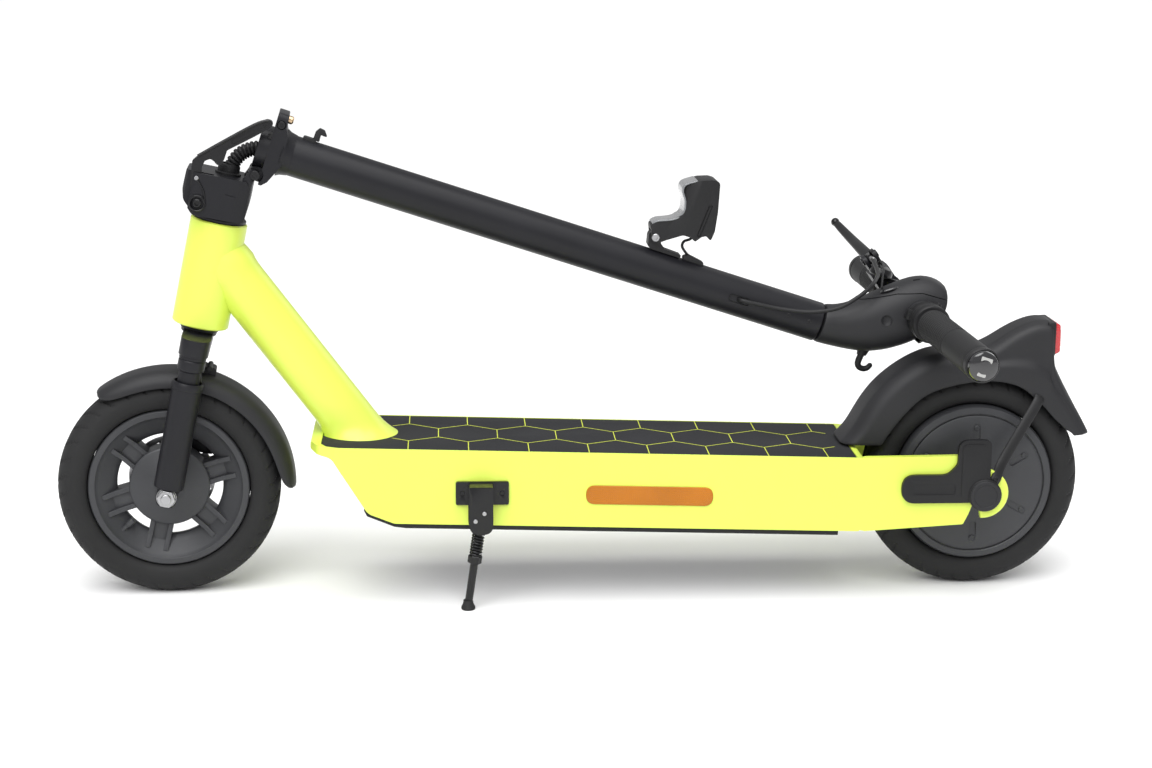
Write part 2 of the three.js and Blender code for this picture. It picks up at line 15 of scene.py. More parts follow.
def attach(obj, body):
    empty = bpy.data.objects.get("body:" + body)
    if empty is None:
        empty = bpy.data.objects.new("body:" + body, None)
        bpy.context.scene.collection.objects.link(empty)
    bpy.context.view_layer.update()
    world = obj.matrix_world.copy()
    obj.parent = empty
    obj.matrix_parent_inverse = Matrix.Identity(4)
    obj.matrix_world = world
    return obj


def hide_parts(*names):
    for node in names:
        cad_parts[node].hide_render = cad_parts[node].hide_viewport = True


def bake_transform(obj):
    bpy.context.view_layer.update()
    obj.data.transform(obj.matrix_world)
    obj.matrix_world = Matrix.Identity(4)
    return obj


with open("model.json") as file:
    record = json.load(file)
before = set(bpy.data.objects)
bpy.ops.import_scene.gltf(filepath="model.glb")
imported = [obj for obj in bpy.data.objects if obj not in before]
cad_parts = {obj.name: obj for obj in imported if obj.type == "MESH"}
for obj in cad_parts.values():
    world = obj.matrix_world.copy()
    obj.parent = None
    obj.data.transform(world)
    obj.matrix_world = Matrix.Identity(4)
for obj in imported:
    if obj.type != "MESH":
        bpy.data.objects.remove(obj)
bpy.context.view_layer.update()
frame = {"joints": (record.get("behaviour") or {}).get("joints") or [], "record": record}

MM = 0.001
UP = Vector((0, 0, 1))
ACROSS = Vector((0, 1, 0))
joints = {joint["name"]: joint for joint in frame["joints"]}
mounts = {mount["name"]: mount for mount in frame["record"]["mounts"]}


# ---------------------------------------------------------------- places

def place(origin, y_axis, z_axis):
    """A local frame in millimetres, from its origin and two of its axes in the row frame."""
    y_axis, z_axis = Vector(y_axis), Vector(z_axis)
    axes = Matrix((y_axis.cross(z_axis), y_axis, z_axis)).transposed().to_4x4()
    axes.translation = Vector(origin)
    return axes @ Matrix.Scale(MM, 4)


def turned_place(base, point, angle):
    """A place at a point of another place, turned about its y axis."""
    return base @ Matrix.Translation(point) @ Matrix.Rotation(angle, 4, "Y")


steering_joint = joints["steering_turn"]
wheel_joint = joints["front_wheel_spin"]
STEERING = place(steering_joint["pos_m"], wheel_joint["axis"], steering_joint["axis"])
HEAD = place(steering_joint["pos_m"], ACROSS, steering_joint["axis"])

fold_joint = joints["fold_hinge"]
hinge_point = STEERING.inverted() @ Vector(fold_joint["pos_m"])
stem_drop = math.radians(fold_joint["range_deg"][1] - 90)
STEM = turned_place(STEERING, hinge_point, stem_drop)

bar_point = STEM.inverted() @ Vector(joints["throttle_turn"]["pos_m"])
bar_point.y = 0
BRAKE = place(STEM @ bar_point, wheel_joint["axis"], joints["brake_lever_pivot"]["axis"])
BAR_AXIS = BAR_X, BAR_Z = bar_point.x, bar_point.z

CHASSIS = place((steering_joint["pos_m"][0], 0, 0), ACROSS, UP)
REAR = place(joints["rear_wheel_spin"]["pos_m"], ACROSS, UP)
FRONT = turned_place(STEERING, Vector((0, 0, 0)), math.radians(-12))
STAND_LEAN = math.radians(8.1)
STAND_PIVOT = (356, 100)
STAND = turned_place(place(joints["kickstand_pivot"]["pos_m"], ACROSS, UP), Vector((0, 0, 0)), STAND_LEAN)

deck_mount = mounts["deck_top"]
DECK = place(deck_mount["pos_m"], ACROSS, deck_mount["axis"]) @ Matrix.Translation((-500, 0, 0))

WHEELBASE = (joints["rear_wheel_spin"]["pos_m"][0] - steering_joint["pos_m"][0]) / MM
WHEEL_RADIUS = 127
REAR_HUB = WHEELBASE, WHEEL_RADIUS
STEM_RADIUS = 23
STEM_CENTRE = hinge_point.x
LEG_OFFSET = 50
DECK_HALF_WIDTH = 80
REAR_ARM_THICKNESS = 8
LAMP_PIVOT = STEM.inverted() @ Vector(joints["lamp_tilt"]["pos_m"])
LAMP_AXIS = LAMP_PIVOT.x, LAMP_PIVOT.z
HINGE_AXIS = hinge_point.x, hinge_point.z
LEVER_AXIS = LEVER_X, LEVER_Z = -26.6, 333.7


# ---------------------------------------------------------------- mesh building

def loft(loops, closed=False):
    """A surface through loops with equal numbers of points; its ends are capped, or joined if closed."""
    shape = bmesh.new()
    rings = [[shape.verts.new(point) for point in loop] for loop in loops]
    count = len(loops[0])
    following = rings[1:] + rings[:1] if closed else rings[1:]
    for ring, after in zip(rings, following):
        for i in range(count):
            j = (i + 1) % count
            shape.faces.new((ring[i], ring[j], after[j], after[i]))
    if not closed:
        shape.faces.new(rings[0])
        shape.faces.new(rings[-1])
    bmesh.ops.remove_doubles(shape, verts=shape.verts, dist=1e-4)
    bmesh.ops.recalc_face_normals(shape, faces=shape.faces)
    return shape


def circle_point(axis, radius, angle, along, centre):
    """A point on a circle about an axis through centre, which gives its other two coordinates."""
    a = centre[0] + radius * math.cos(angle)
    b = centre[1] + radius * math.sin(angle)
    return {"x": (along, a, b), "y": (a, along, b), "z": (a, b, along)}[axis]


def lathe(profile, axis, sides=96, centre=(0, 0), closed=False):
    """A body of revolution; the profile gives radius and place along the axis."""
    angles = [2 * math.pi * i / sides for i in range(sides)]
    loops = [[circle_point(axis, max(r, 1e-3), angle, t, centre) for angle in angles] for r, t in profile]
    return loft(loops, closed)


def rod(axis, radius, start, end, centre=(0, 0), sides=64, edge=0.7, end_radius=None):
    """A round bar with its two edges broken."""
    last = radius if end_radius is None else end_radius
    profile = [(0, start), (radius - edge, start), (radius, start + edge)]
    profile += [(last, end - edge), (last - edge, end), (0, end)]
    return lathe(profile, axis, sides, centre)


def prism(outline, low, high, axis="y"):
    """An outline given its thickness along an axis; its coordinates are the other two in order."""
    def at(point, along):
        a, b = point
        return {"x": (along, a, b), "y": (a, along, b), "z": (a, b, along)}[axis]
    return loft([[at(point, low) for point in outline], [at(point, high) for point in outline]])


def rounded(outline, radius, steps=6):
    """An outline with its corners rounded; radius is one number or one for each corner."""
    radii = radius if isinstance(radius, (list, tuple)) else [radius] * len(outline)
    result = []
    for i, corner in enumerate(outline):
        here = Vector(corner)
        before, after = Vector(outline[i - 1]) - here, Vector(outline[(i + 1) % len(outline)]) - here
        half = before.angle(after) / 2
        reach = min(radii[i] / math.tan(half), before.length * 0.48, after.length * 0.48)
        if reach < 0.05:
            result.append(tuple(here))
            continue
        start, end = here + before.normalized() * reach, here + after.normalized() * reach
        for k in range(steps + 1):
            t = k / steps
            pull = (1 - t) ** 2, 2 * t * (1 - t), t * t
            result.append(tuple(pull[0] * start + pull[1] * here + pull[2] * end))
    return result


def rectangle(a0, a1, b0, b1, radius, steps=6):
    """A rectangle's outline with rounded corners."""
    return rounded([(a0, b0), (a1, b0), (a1, b1), (a0, b1)], radius, steps)


def mirrored(half):
    """An outline or profile whose second half repeats the first on the other side of the middle plane."""
    return [*half, *[(along, -y) for along, y in reversed(half)]]


def span(sign, inner, outer):
    """The two ends of a stretch on one side of the middle plane, the lower one first."""
    return sorted((sign * inner, sign * outer))


def smooth_line(points, per=8):
    """A smooth line through points, with this many steps between each two."""
    given = [Vector(point) for point in points]
    ends = [2 * given[0] - given[1], *given, 2 * given[-1] - given[-2]]
    line = []
    for a, b, c, d in zip(ends, ends[1:], ends[2:], ends[3:]):
        for k in range(per):
            t = k / per
            cubic = 3 * b - a - 3 * c + d
            line.append(0.5 * (2 * b + (c - a) * t + (2 * a - 5 * b + 4 * c - d) * t * t + cubic * t ** 3))
    return [*line, given[-1]]


def pipe(line, radius, sides, side=(0, 1, 0), flat=1.0):
    """A tube along a line; radius is one number or one for each point, and flat thins it along side."""
    line = [Vector(point) for point in line]
    radii = radius if isinstance(radius, (list, tuple)) else [radius] * len(line)
    normal = Vector(side)
    loops = []
    for i, point in enumerate(line):
        heading = (line[min(i + 1, len(line) - 1)] - line[max(i - 1, 0)]).normalized()
        normal = (normal - heading * normal.dot(heading)).normalized()
        other = heading.cross(normal)
        loop = []
        for k in range(sides):
            angle = 2 * math.pi * k / sides
            loop.append(point + radii[i] * (normal * flat * math.cos(angle) + other * math.sin(angle)))
        loops.append(loop)
    return loft(loops)


def oval(centre, u, v, power, count):
    """A rounded-square loop about centre, with half-axes u and v."""
    def bent(value):
        return math.copysign(abs(value) ** (2 / power), value)
    angles = [2 * math.pi * k / count for k in range(count)]
    return [Vector(centre) + Vector(u) * bent(math.cos(a)) + Vector(v) * bent(math.sin(a)) for a in angles]


def bolt(at, out, radius, height, socket=True):
    """A round bolt head with a hexagon socket, standing on a point and facing out."""
    def ring(r, z, hexagon=False):
        loop = []
        for k in range(24):
            angle = 2 * math.pi * k / 24
            reach = r / math.cos((angle % (math.pi / 3)) - math.pi / 6) if hexagon else r
            loop.append((reach * math.cos(angle), reach * math.sin(angle), z))
        return loop
    edge = 0.25 * height
    loops = [ring(radius, -0.4), ring(radius, height - edge), ring(radius - edge, height)]
    if socket:
        loops += [ring(0.48 * radius, height, True), ring(0.46 * radius, 0.35 * height, True)]
    else:
        loops += [ring(0.5 * radius, height + 0.3 * edge)]
    head = loft(loops)
    facing = Vector(out).to_track_quat("Z", "Y").to_matrix().to_4x4()
    head.transform(Matrix.Translation(at) @ facing)
    return head


def moved(shape, matrix):
    """The shape itself, carried to where the matrix takes it."""
    shape.transform(matrix)
    return shape


def spun(shape, axis, degrees):
    """The shape turned about an axis through the place's origin."""
    return moved(shape, Matrix.Rotation(math.radians(degrees), 4, axis))


def mesh_object(name, shapes):
    """One object holding the shapes side by side, still in millimetres."""
    whole = bmesh.new()
    for shape in shapes:
        held = bpy.data.meshes.new("held")
        shape.to_mesh(held)
        whole.from_mesh(held)
        shape.free()
        bpy.data.meshes.remove(held)
    mesh = bpy.data.meshes.new(name)
    whole.to_mesh(mesh)
    whole.free()
    made = bpy.data.objects.new(name, mesh)
    bpy.context.scene.collection.objects.link(made)
    return made


def apply_modifiers(made):
    """Replaces an object's mesh by what its modifiers make of it."""
    evaluated = made.evaluated_get(bpy.context.evaluated_depsgraph_get())
    before = made.data
    made.data = bpy.data.meshes.new_from_object(evaluated)
    made.data.name = made.name
    made.modifiers.clear()
    bpy.data.meshes.remove(before)


def combine(made, shape, operation):
    """Joins a shape to an object, cuts it away or keeps what is common to both."""
    other = mesh_object("other", [shape])
    modifier = made.modifiers.new("combine", "BOOLEAN")
    modifier.object = other
    modifier.operation = operation
    modifier.solver = "EXACT"
    apply_modifiers(made)
    mesh = other.data
    bpy.data.objects.remove(other)
    bpy.data.meshes.remove(mesh)


def combine_all(made, joined, common, cut):
    """Joins the first shapes to an object, keeps it within the second and cuts the third away."""
    for operation, tools in (("UNION", joined), ("INTERSECT", common), ("DIFFERENCE", cut)):
        for tool in tools:
            combine(made, tool, operation)


def worked(shape, joined=(), common=(), cut=(), bevel=0.0):
    """A shape joined to others, kept within them or cut by them, as a new shape."""
    held = mesh_object("held", [shape])
    combine_all(held, joined, common, cut)
    if bevel:
        modifier = held.modifiers.new("bevel", "BEVEL")
        modifier.width = bevel
        modifier.segments = 2
        modifier.limit_method = "ANGLE"
        apply_modifiers(held)
    result = bmesh.new()
    result.from_mesh(held.data)
    mesh = held.data
    bpy.data.objects.remove(held)
    bpy.data.meshes.remove(mesh)
    return result


def piece(name, shapes, at, look, body, nodes=(), bevel=0.0, joined=(), common=(), cut=(), detail=(),
          smooth=0, angle=35):
    """A finished piece: shapes, joined and cut, with bevelled edges, placed in the row frame on a body."""
    made = mesh_object(name, shapes)
    combine_all(made, joined, common, cut)
    if smooth:
        made.modifiers.new("smooth", "SUBSURF").levels = smooth
        made.modifiers["smooth"].render_levels = smooth
    if bevel:
        modifier = made.modifiers.new("bevel", "BEVEL")
        modifier.width = bevel
        modifier.segments = 3
        modifier.limit_method = "ANGLE"
        modifier.angle_limit = math.radians(32)
    if smooth or bevel:
        apply_modifiers(made)
    if detail:
        extra = mesh_object("extra", detail)
        whole = bmesh.new()
        whole.from_mesh(made.data)
        whole.from_mesh(extra.data)
        whole.to_mesh(made.data)
        whole.free()
        bpy.data.meshes.remove(extra.data)
    made.data.transform(at)
    made.data.shade_smooth()
    made.data.set_sharp_from_angle(angle=math.radians(angle))
    made.data.materials.clear()
    made.data.materials.append(look)
    if isinstance(body, str):
        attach(made, body)
    if nodes:
        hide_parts(*nodes)
    return made


# ---------------------------------------------------------------- materials

PATCH_SCALE = 14.0


def shader(name, color, roughness, metallic=0.0, grain=900.0, relief=0.12, mottle=0.10, coat=0.0,
           specular=0.5):
    """A surface with fine grain in its relief and slow patches in its colour and roughness."""
    material = bpy.data.materials.new(name)
    material.use_nodes = True
    nodes, links = material.node_tree.nodes, material.node_tree.links
    surface = nodes["Principled BSDF"]
    surface.inputs["Metallic"].default_value = metallic
    surface.inputs["Coat Weight"].default_value = coat
    surface.inputs["Coat Roughness"].default_value = 0.08
    surface.inputs["Specular IOR Level"].default_value = specular
    place_input = nodes.new("ShaderNodeTexCoord")

    fine = nodes.new("ShaderNodeTexNoise")
    fine.inputs["Scale"].default_value = grain
    fine.inputs["Detail"].default_value = 3
    links.new(place_input.outputs["Object"], fine.inputs["Vector"])
    bump = nodes.new("ShaderNodeBump")
    bump.inputs["Strength"].default_value = relief
    bump.inputs["Distance"].default_value = 0.0004
    links.new(fine.outputs["Fac"], bump.inputs["Height"])
    links.new(bump.outputs["Normal"], surface.inputs["Normal"])

    slow = nodes.new("ShaderNodeTexNoise")
    slow.inputs["Scale"].default_value = PATCH_SCALE
    slow.inputs["Detail"].default_value = 5
    links.new(place_input.outputs["Object"], slow.inputs["Vector"])
    tint = nodes.new("ShaderNodeValToRGB")
    tint.color_ramp.elements[0].position = 0.3
    tint.color_ramp.elements[1].position = 0.7
    tint.color_ramp.elements[0].color = (*[channel * (1 - mottle) for channel in color], 1)
    tint.color_ramp.elements[1].color = (*[min(1.0, channel * (1 + mottle)) for channel in color], 1)
    links.new(slow.outputs["Fac"], tint.inputs["Fac"])
    links.new(tint.outputs["Color"], surface.inputs["Base Color"])
    worn = nodes.new("ShaderNodeMapRange")
    worn.inputs["To Min"].default_value = roughness - 0.06
    worn.inputs["To Max"].default_value = roughness + 0.06
    links.new(slow.outputs["Fac"], worn.inputs["Value"])
    links.new(worn.outputs["Result"], surface.inputs["Roughness"])
    return material


def cellular(material, scale, strength):
    """Adds the small facets of a moulded reflector to a material's relief."""
    nodes, links = material.node_tree.nodes, material.node_tree.links
    cells = nodes.new("ShaderNodeTexVoronoi")
    cells.inputs["Scale"].default_value = scale
    cells.inputs["Randomness"].default_value = 0.0
    links.new(nodes["Texture Coordinate"].outputs["Object"], cells.inputs["Vector"])
    bump = nodes["Bump"]
    links.new(cells.outputs["Distance"], bump.inputs["Height"])
    bump.inputs["Strength"].default_value = strength
    bump.inputs["Distance"].default_value = 0.002
    return material


NEON = shader("neon_paint", (0.70, 0.85, 0.105), 0.38, grain=1400, relief=0.05, mottle=0.02, coat=0.12)
BLACK_PAINT = shader("black_paint", (0.009, 0.009, 0.0115), 0.42, grain=1600, relief=0.16, specular=0.28)
BLACK_GLOSS = shader("gloss_black_paint", (0.006, 0.006, 0.007), 0.30, grain=700, relief=0.03, coat=0.12,
                     specular=0.3)
PLASTIC = shader("black_plastic", (0.010, 0.010, 0.011), 0.48, grain=2200, relief=0.22, specular=0.32)
SOFT_PLASTIC = shader("soft_plastic", (0.017, 0.017, 0.019), 0.52, grain=1800, relief=0.15, specular=0.32)
TYRE = shader("tyre_rubber", (0.012, 0.012, 0.0125), 0.68, grain=1100, relief=0.30, mottle=0.2,
              specular=0.32)
GRIP = shader("grip_rubber", (0.014, 0.014, 0.015), 0.62, grain=1500, relief=0.25, specular=0.32)
MAT = shader("deck_mat_rubber", (0.021, 0.0215, 0.024), 0.80, grain=850, relief=0.55, mottle=0.15,
             specular=0.25)
LINES = shader("mat_line_yellow", (0.62, 0.69, 0.06), 0.6, relief=0.1)
STEEL = shader("zinc_steel", (0.40, 0.40, 0.41), 0.30, metallic=1.0, grain=600, relief=0.08)
BRASS = shader("brass_bolt", (0.60, 0.44, 0.28), 0.25, metallic=1.0, grain=600, relief=0.06)
ALLOY = shader("dark_alloy", (0.040, 0.041, 0.045), 0.46, metallic=0.25, grain=1500, relief=0.2)
AMBER = cellular(shader("amber_reflector", (0.44, 0.14, 0.002), 0.25, coat=0.25, specular=0.3), 420, 0.5)
RED = cellular(shader("red_lens", (0.50, 0.008, 0.014), 0.16, coat=0.8), 300, 0.3)
WINDOW = shader("display_window", (0.008, 0.008, 0.010), 0.08, relief=0.01, coat=1.0)
CLEAR = cellular(shader("clear_lens", (0.16, 0.165, 0.175), 0.12, coat=1.0), 260, 0.35)
WHITE_LED = shader("pale_reflector", (0.38, 0.38, 0.37), 0.25, coat=0.6)
SMOKED = shader("smoked_lens", (0.012, 0.012, 0.014), 0.10, relief=0.01, coat=1.0)
WRAP = shader("pack_wrap", (0.02, 0.07, 0.26), 0.35, relief=0.1)


# ---------------------------------------------------------------- frame and deck

def make_deck():
    """The deck's shell and both rear arms: one painted body with a recess for the mat."""
    side = [(262, -87), (232, -76), (190, -13), (165, -9), (165, 0), (795, 0), (795, -87)]
    side = rounded(side, [18, 16, 14, 3, 3.5, 4, 4])
    plan_half = [(165, -48), (174, -70), (196, -DECK_HALF_WIDTH), (795, -DECK_HALF_WIDTH)]
    plan = rounded(mirrored(plan_half), [10, 14, 20, 2, 2, 20, 14, 10])
    cavity = [(216, -9), (791, -9), (791, -95), (268, -95), (268, -84), (246, -74)]
    block = worked(prism(side, -DECK_HALF_WIDTH, DECK_HALF_WIDTH), common=[prism(plan, -100, 20, "z")])
    cuts = [prism(cavity, -76.5, 76.5), prism(mat_outline(0.5), -3.4, 5, "z")]
    chassis_to_deck = DECK.inverted() @ CHASSIS
    corners = [(778, 88), (797, 84), (911, 91), (921, 112), (940, 140), (925, 160), (905, 172), (797, 171)]
    arm = rounded([*corners, (778, 167)], [0, 1, 3, 2, 8, 8, 14, 1, 0])
    arms = []
    for sign in (-1, 1):
        near, far = span(sign, DECK_HALF_WIDTH - REAR_ARM_THICKNESS, DECK_HALF_WIDTH)
        arms += [prism(arm, near, far), rod("y", 29, near, far, REAR_HUB, 96, edge=1.5)]
    notch = prism([(920.5, 113), (911, 88), (934, 80), (930, 108)], -100, 100)
    cuts += [moved(tool, chassis_to_deck) for tool in (notch, rod("y", 6.4, -100, 100, REAR_HUB))]
    piece("deck_and_rear_arms", [block], DECK, NEON, "frame",
          ["deck_shell", "rear_arm_left", "rear_arm_right"], bevel=1.2,
          joined=[moved(shape, chassis_to_deck) for shape in arms], cut=cuts)


def make_deck_mat():
    """The rubber mat in its recess, cut round the down tube's foot."""
    foot_hole = rod("z", 44.5, -20, 10, (217, 0))
    piece("deck_grip_mat", [prism(mat_outline(0), -3.2, -0.3, "z")], DECK, MAT, "frame",
          ["deck_mat"], bevel=0.5, cut=[foot_hole])


def mat_outline(grow):
    """The mat's outline on the deck, with room left for the mudguard's foot, widened by grow."""
    half = [(178, -60), (184, -72.5), (198, -78.3), (786, -78.3)]
    half = [(x + (grow if x > 500 else -grow), y - grow) for x, y in half]
    return rounded(mirrored(half), [4, 6, 10, 1, 1, 10, 6, 4])


def make_mat_lines():
    """Thin coloured lines of a honeycomb: two outer rows and a middle row half a cell along."""
    pitch, side, width = 68.2, 39.4, 1.0
    first_outer, foot_centre = 275.8, Vector((217, 0))
    edge_y, rear_x, front_x = 77.4, 785, 180
    foot_clearance, mudguard_x, mudguard_y, steps = 46.5, 770, 41, 16
    runs = []
    for i in range(-1, 8):
        outer, middle = first_outer + pitch * i, first_outer + pitch * (i + 0.5)
        runs.append(((middle, -side / 2), (middle, side / 2)))
        for sign in (-1, 1):
            if i >= 0:
                runs.append(((outer, sign * side), (outer, sign * edge_y)))
            runs.append(((outer, sign * side), (middle, sign * side / 2)))
            runs.append(((middle, sign * side / 2), (outer + pitch, sign * side)))
    strips = []
    for a, b in runs:
        a, b = Vector(a), Vector(b)
        inside = []
        for k in range(steps + 1):
            point = a.lerp(b, k / steps)
            under_mudguard = point.x > mudguard_x and abs(point.y) < mudguard_y
            under_foot = (point - foot_centre).length <= foot_clearance
            if front_x < point.x < rear_x and not under_foot and not under_mudguard:
                inside.append(point)
        if len(inside) < 2:
            continue
        a, b = inside[0], inside[-1]
        across = (b - a).normalized().orthogonal() * width / 2
        outline = [tuple(a - across), tuple(b - across), tuple(b + across), tuple(a + across)]
        strips.append(prism(outline, -1.2, -0.12, "z"))
    piece("deck_mat_lines", strips, DECK, LINES, "frame")


def make_bottom_cover():
    """The cover under the deck: a lip at its front, shallow grooves and two rows of screws."""
    lip = [(240, -79.2), (231.5, -75.4), (228.4, -70.6), (227.2, -73), (231, -80), (262, -91.6), (275, -93)]
    cover = prism(rounded([(263, -87.3), *lip, (770, -93), (770, -87.3)], 1.2, 2), -77, 77)
    ribs = [prism(rectangle(300, 740, y - 2, y + 2, 1.5, 2), -93, -92.2, "z")
            for y in (-50, -25, 0, 25, 50)]
    screws = [bolt((x, y, -92.6), (0, 0, -1), 3.2, 0.4) for x in range(275, 770, 60) for y in (-68, 68)]
    piece("deck_bottom_cover", [cover], DECK, PLASTIC, "frame", ["bottom_cover"],
          bevel=0.8, cut=ribs, detail=screws)


def make_battery_and_controller():
    """The banded battery pack and the finned controller, inside the deck."""
    bands = [prism(rectangle(x, x + 14, -80.4, -15.6, 2, 2), -62.3, 62.3) for x in (320, 455, 590)]
    pack = prism(rectangle(290, 640, -80, -16, 5), -62, 62)
    piece("battery", [pack], DECK, WRAP, "frame", ["battery_pack"], bevel=1.5, detail=bands)
    fins = [prism(rectangle(668 + 9 * i, 671 + 9 * i, -38, -31, 1, 2), -44, 44) for i in range(11)]
    case = prism(rectangle(662, 768, -74, -37, 3), -46, 46)
    piece("controller", [case], DECK, ALLOY, "frame", ["motor_controller"], bevel=1,
          detail=fins)


def make_reflector(side, sign):
    """A long round-ended reflector on one side of the deck."""
    front, rear, middle, half_height = 478, 623, -48.7, 11

    def stadium(grow):
        reach = half_height + grow
        return rectangle(front - grow, rear + grow, middle - reach, middle + reach, reach, 10)
    back, face = 80.1, 82.2
    near, far = span(sign, back, face)
    holder = prism(stadium(0), near, far)
    lens = prism(stadium(-1.6), *span(sign, 81, face + 0.1))
    piece(f"reflector_{side}", [holder], DECK, AMBER, "frame",
          [f"side_reflector_{side}"], bevel=0.8, detail=[lens])


def make_head_tube():
    """The tube that the fork's steerer turns in."""
    outer = [(22, 192.2), (30.6, 192), (32, 193.4), (32, 312.6), (30.6, 314), (22, 313.8)]
    piece("head_tube_shell", [lathe(outer, "z", 128, closed=True)], HEAD, NEON, "frame",
          ["head_tube"])


def make_down_tube():
    """Round sections down the slope, welded to the head tube and flared where they meet the deck."""
    slope, radius, deck_height = math.radians(53.2), 30, 183
    level_start, level_length = 170, 70
    start, run = Vector((55.5, 0, 403.4)), Vector((math.cos(slope), 0, -math.sin(slope)))
    lean = math.pi / 2 - slope
    length = (start.z - deck_height) / math.sin(slope)
    loops = []
    stops = [0, 12, 24, 34, 40, 46, 54, 66, 90, 120, 150, 180, 205, 222, 236, 248, 256, 262, 267, 271]
    for s in [*stops, length]:
        left = (length - s) * math.sin(slope)
        level = min(1, max(0, (s - level_start) / level_length))
        tilt = lean * (1 - level)
        weld = 3.5 * max(0, 1 - abs(s - 30) / 22) ** 2
        flare = 7.5 * max(0, 1 - left / 26) ** 2.6
        long_half = radius / math.cos(lean - tilt) + weld + flare
        centre = start + run * s + Vector((0.2 * flare, 0, 0))
        u = Vector((math.cos(tilt), 0, math.sin(tilt))) * long_half
        loops.append(oval(centre, u, (0, radius + weld + flare * 1.7, 0), 2.08, 96))
    tube = loft(loops)
    under = prism([(150, 150), (320, 150), (320, 180.9), (150, 185.6)], -90, 90)
    head_space = rod("z", 32.2, 100, 420, sides=128)
    head_space.transform(CHASSIS.inverted() @ HEAD)
    piece("down_tube_shell", [tube], CHASSIS, NEON, "frame", ["down_tube"],
          cut=[head_space, under], angle=40)


def make_headset():
    """The rings at both ends of the head tube."""
    for name, radius, z0, z1 in (("bottom", 21.6, 186, 191.8), ("top", 30, 314.2, 318.5)):
        rim = [(radius - 1, z0), (radius, z0 + 1), (radius, z1 - 1), (radius - 1, z1)]
        ring = [(16.4, z0), *rim, (16.4, z1)]
        piece(f"headset_{name}", [lathe(ring, "z", closed=True)], HEAD, BLACK_PAINT, "frame",
              [f"headset_bearing_{name}"])


def make_axle_cover(side, sign):
    """The moulded cover over one end of the rear axle."""
    corners = [(837.5, 118), (837.5, 151), (890, 151), (901, 163), (901, 192), (939, 192), (939, 118)]
    outline = rounded(corners, [16.4, 16.4, 16, 10, 13, 8, 9], 8)
    channel = prism(rectangle(851, 899, 128, 141, 3.5), *span(sign, 85.1, 90))
    shoulder = prism(rectangle(906, 934, 124, 187, 7), *span(sign, 85, 87))
    boss = lathe([(0, sign * 84), (19, sign * 84), (19, sign * 88), (17.8, sign * 89), (0, sign * 89)],
                 "y", 64, REAR_HUB)
    piece(f"axle_cover_shell_{side}", [prism(outline, *span(sign, 80.3, 86))], CHASSIS, PLASTIC, "frame",
          [f"axle_cover_{side}"], bevel=1.6, joined=[shoulder, boss], cut=[channel])


def make_rear_axle():
    """The rear axle with its nuts and dished end caps."""
    nuts = [bolt((WHEELBASE, 84 * sign, WHEEL_RADIUS), (0, sign, 0), 10.5, 4, False) for sign in (-1, 1)]
    piece("rear_axle_shaft", [rod("y", 6, -88, 88, REAR_HUB)], CHASSIS, STEEL, "frame",
          ["rear_axle"], detail=nuts)
    caps = []
    for sign in (-1, 1):
        dish = [(17.3, 88.6), (17.6, 90.4), (16.6, 91.2), (13.5, 91.3), (12.9, 90.7), (0, 90.9)]
        caps.append(lathe([(r, sign * y) for r, y in [(0, 88), *dish]], "y", 72, REAR_HUB))
    piece("axle_caps", caps, CHASSIS, SOFT_PLASTIC, "frame")


def make_mudguard():
    """A lofted shell from stations: ridge point, lower edge, half-width of the top and its depth."""
    stations = [((773, 172.5), (822, 172.5), 38, 22), ((776, 176), (823, 175), 38, 22),
                ((789, 190), (829, 185), 38, 20), ((800, 213), (838, 198), 38, 20),
                ((817, 238), (851, 214), 38, 20), ((840, 258), (868, 231), 38, 20),
                ((863, 272), (885, 239), 38, 20), ((885, 280.5), (901, 243), 37.6, 19),
                ((908, 281.5), (918, 247), 36.5, 18), ((932, 282.5), (936, 249), 35, 17),
                ((950, 290), (952, 249), 33, 21), ((968, 303), (970, 246), 31, 32),
                ((985, 312), (985, 240.5), 30.4, 42), ((1002, 318), (998, 229), 30, 50),
                ((1016, 317.6), (1009, 219), 30, 58), ((1021.4, 315.6), (1012.5, 215.5), 30, 60),
                ((1022, 296), (1016, 211.5), 30, 50), ((1022, 273), (1022, 205), 31, 34),
                ((1029, 257), (1027, 200), 32, 24), ((1038, 240), (1032.5, 195.5), 33.5, 18),
                ((1048.5, 221), (1038, 190), 35, 14), ((1059, 202), (1044.4, 187.4), 36, 11),
                ((1067, 187.4), (1046.6, 184), 36, 9), ((1069, 183.5), (1048, 183), 35.5, 9)]
    half_width, wall = 38, 3.0
    loops = []
    for ridge, skirt, top, deep in stations:
        ridge, skirt = Vector((ridge[0], 0, ridge[1])), Vector((skirt[0], 0, skirt[1]))
        down = (skirt - ridge).normalized()
        drop = (skirt - ridge).length
        bend = min(15.0, 0.42 * drop)
        step = min(deep, drop - 6)

        def side_points(inset):
            low_top, low_side = top - inset, half_width - inset
            points = [(0.0, inset), (0.5 * low_top, inset + 0.02 * bend),
                      (low_top - bend, inset + 0.07 * bend)]
            points += [(low_top - 0.45 * bend, inset + 0.3 * bend),
                       (low_top - 0.12 * bend, inset + 0.65 * bend)]
            points += [(low_top, max(bend, 0.6 * step)), (low_top, step - 2), (low_side, step + 2.5)]
            points += [(low_side, 0.5 * (step + drop)), (low_side, drop)]
            return points
        outer, inner = side_points(0), side_points(wall)
        section = [(-y, h) for y, h in reversed(outer)] + outer[1:] + list(reversed(inner))
        section += [(-y, h) for y, h in inner[1:]]
        loops.append([ridge + down * h + Vector((0, y, 0)) for y, h in section])
    piece("rear_mudguard_shell", [loft(loops)], CHASSIS, SOFT_PLASTIC, "frame",
          ["rear_mudguard"], smooth=2, angle=60)


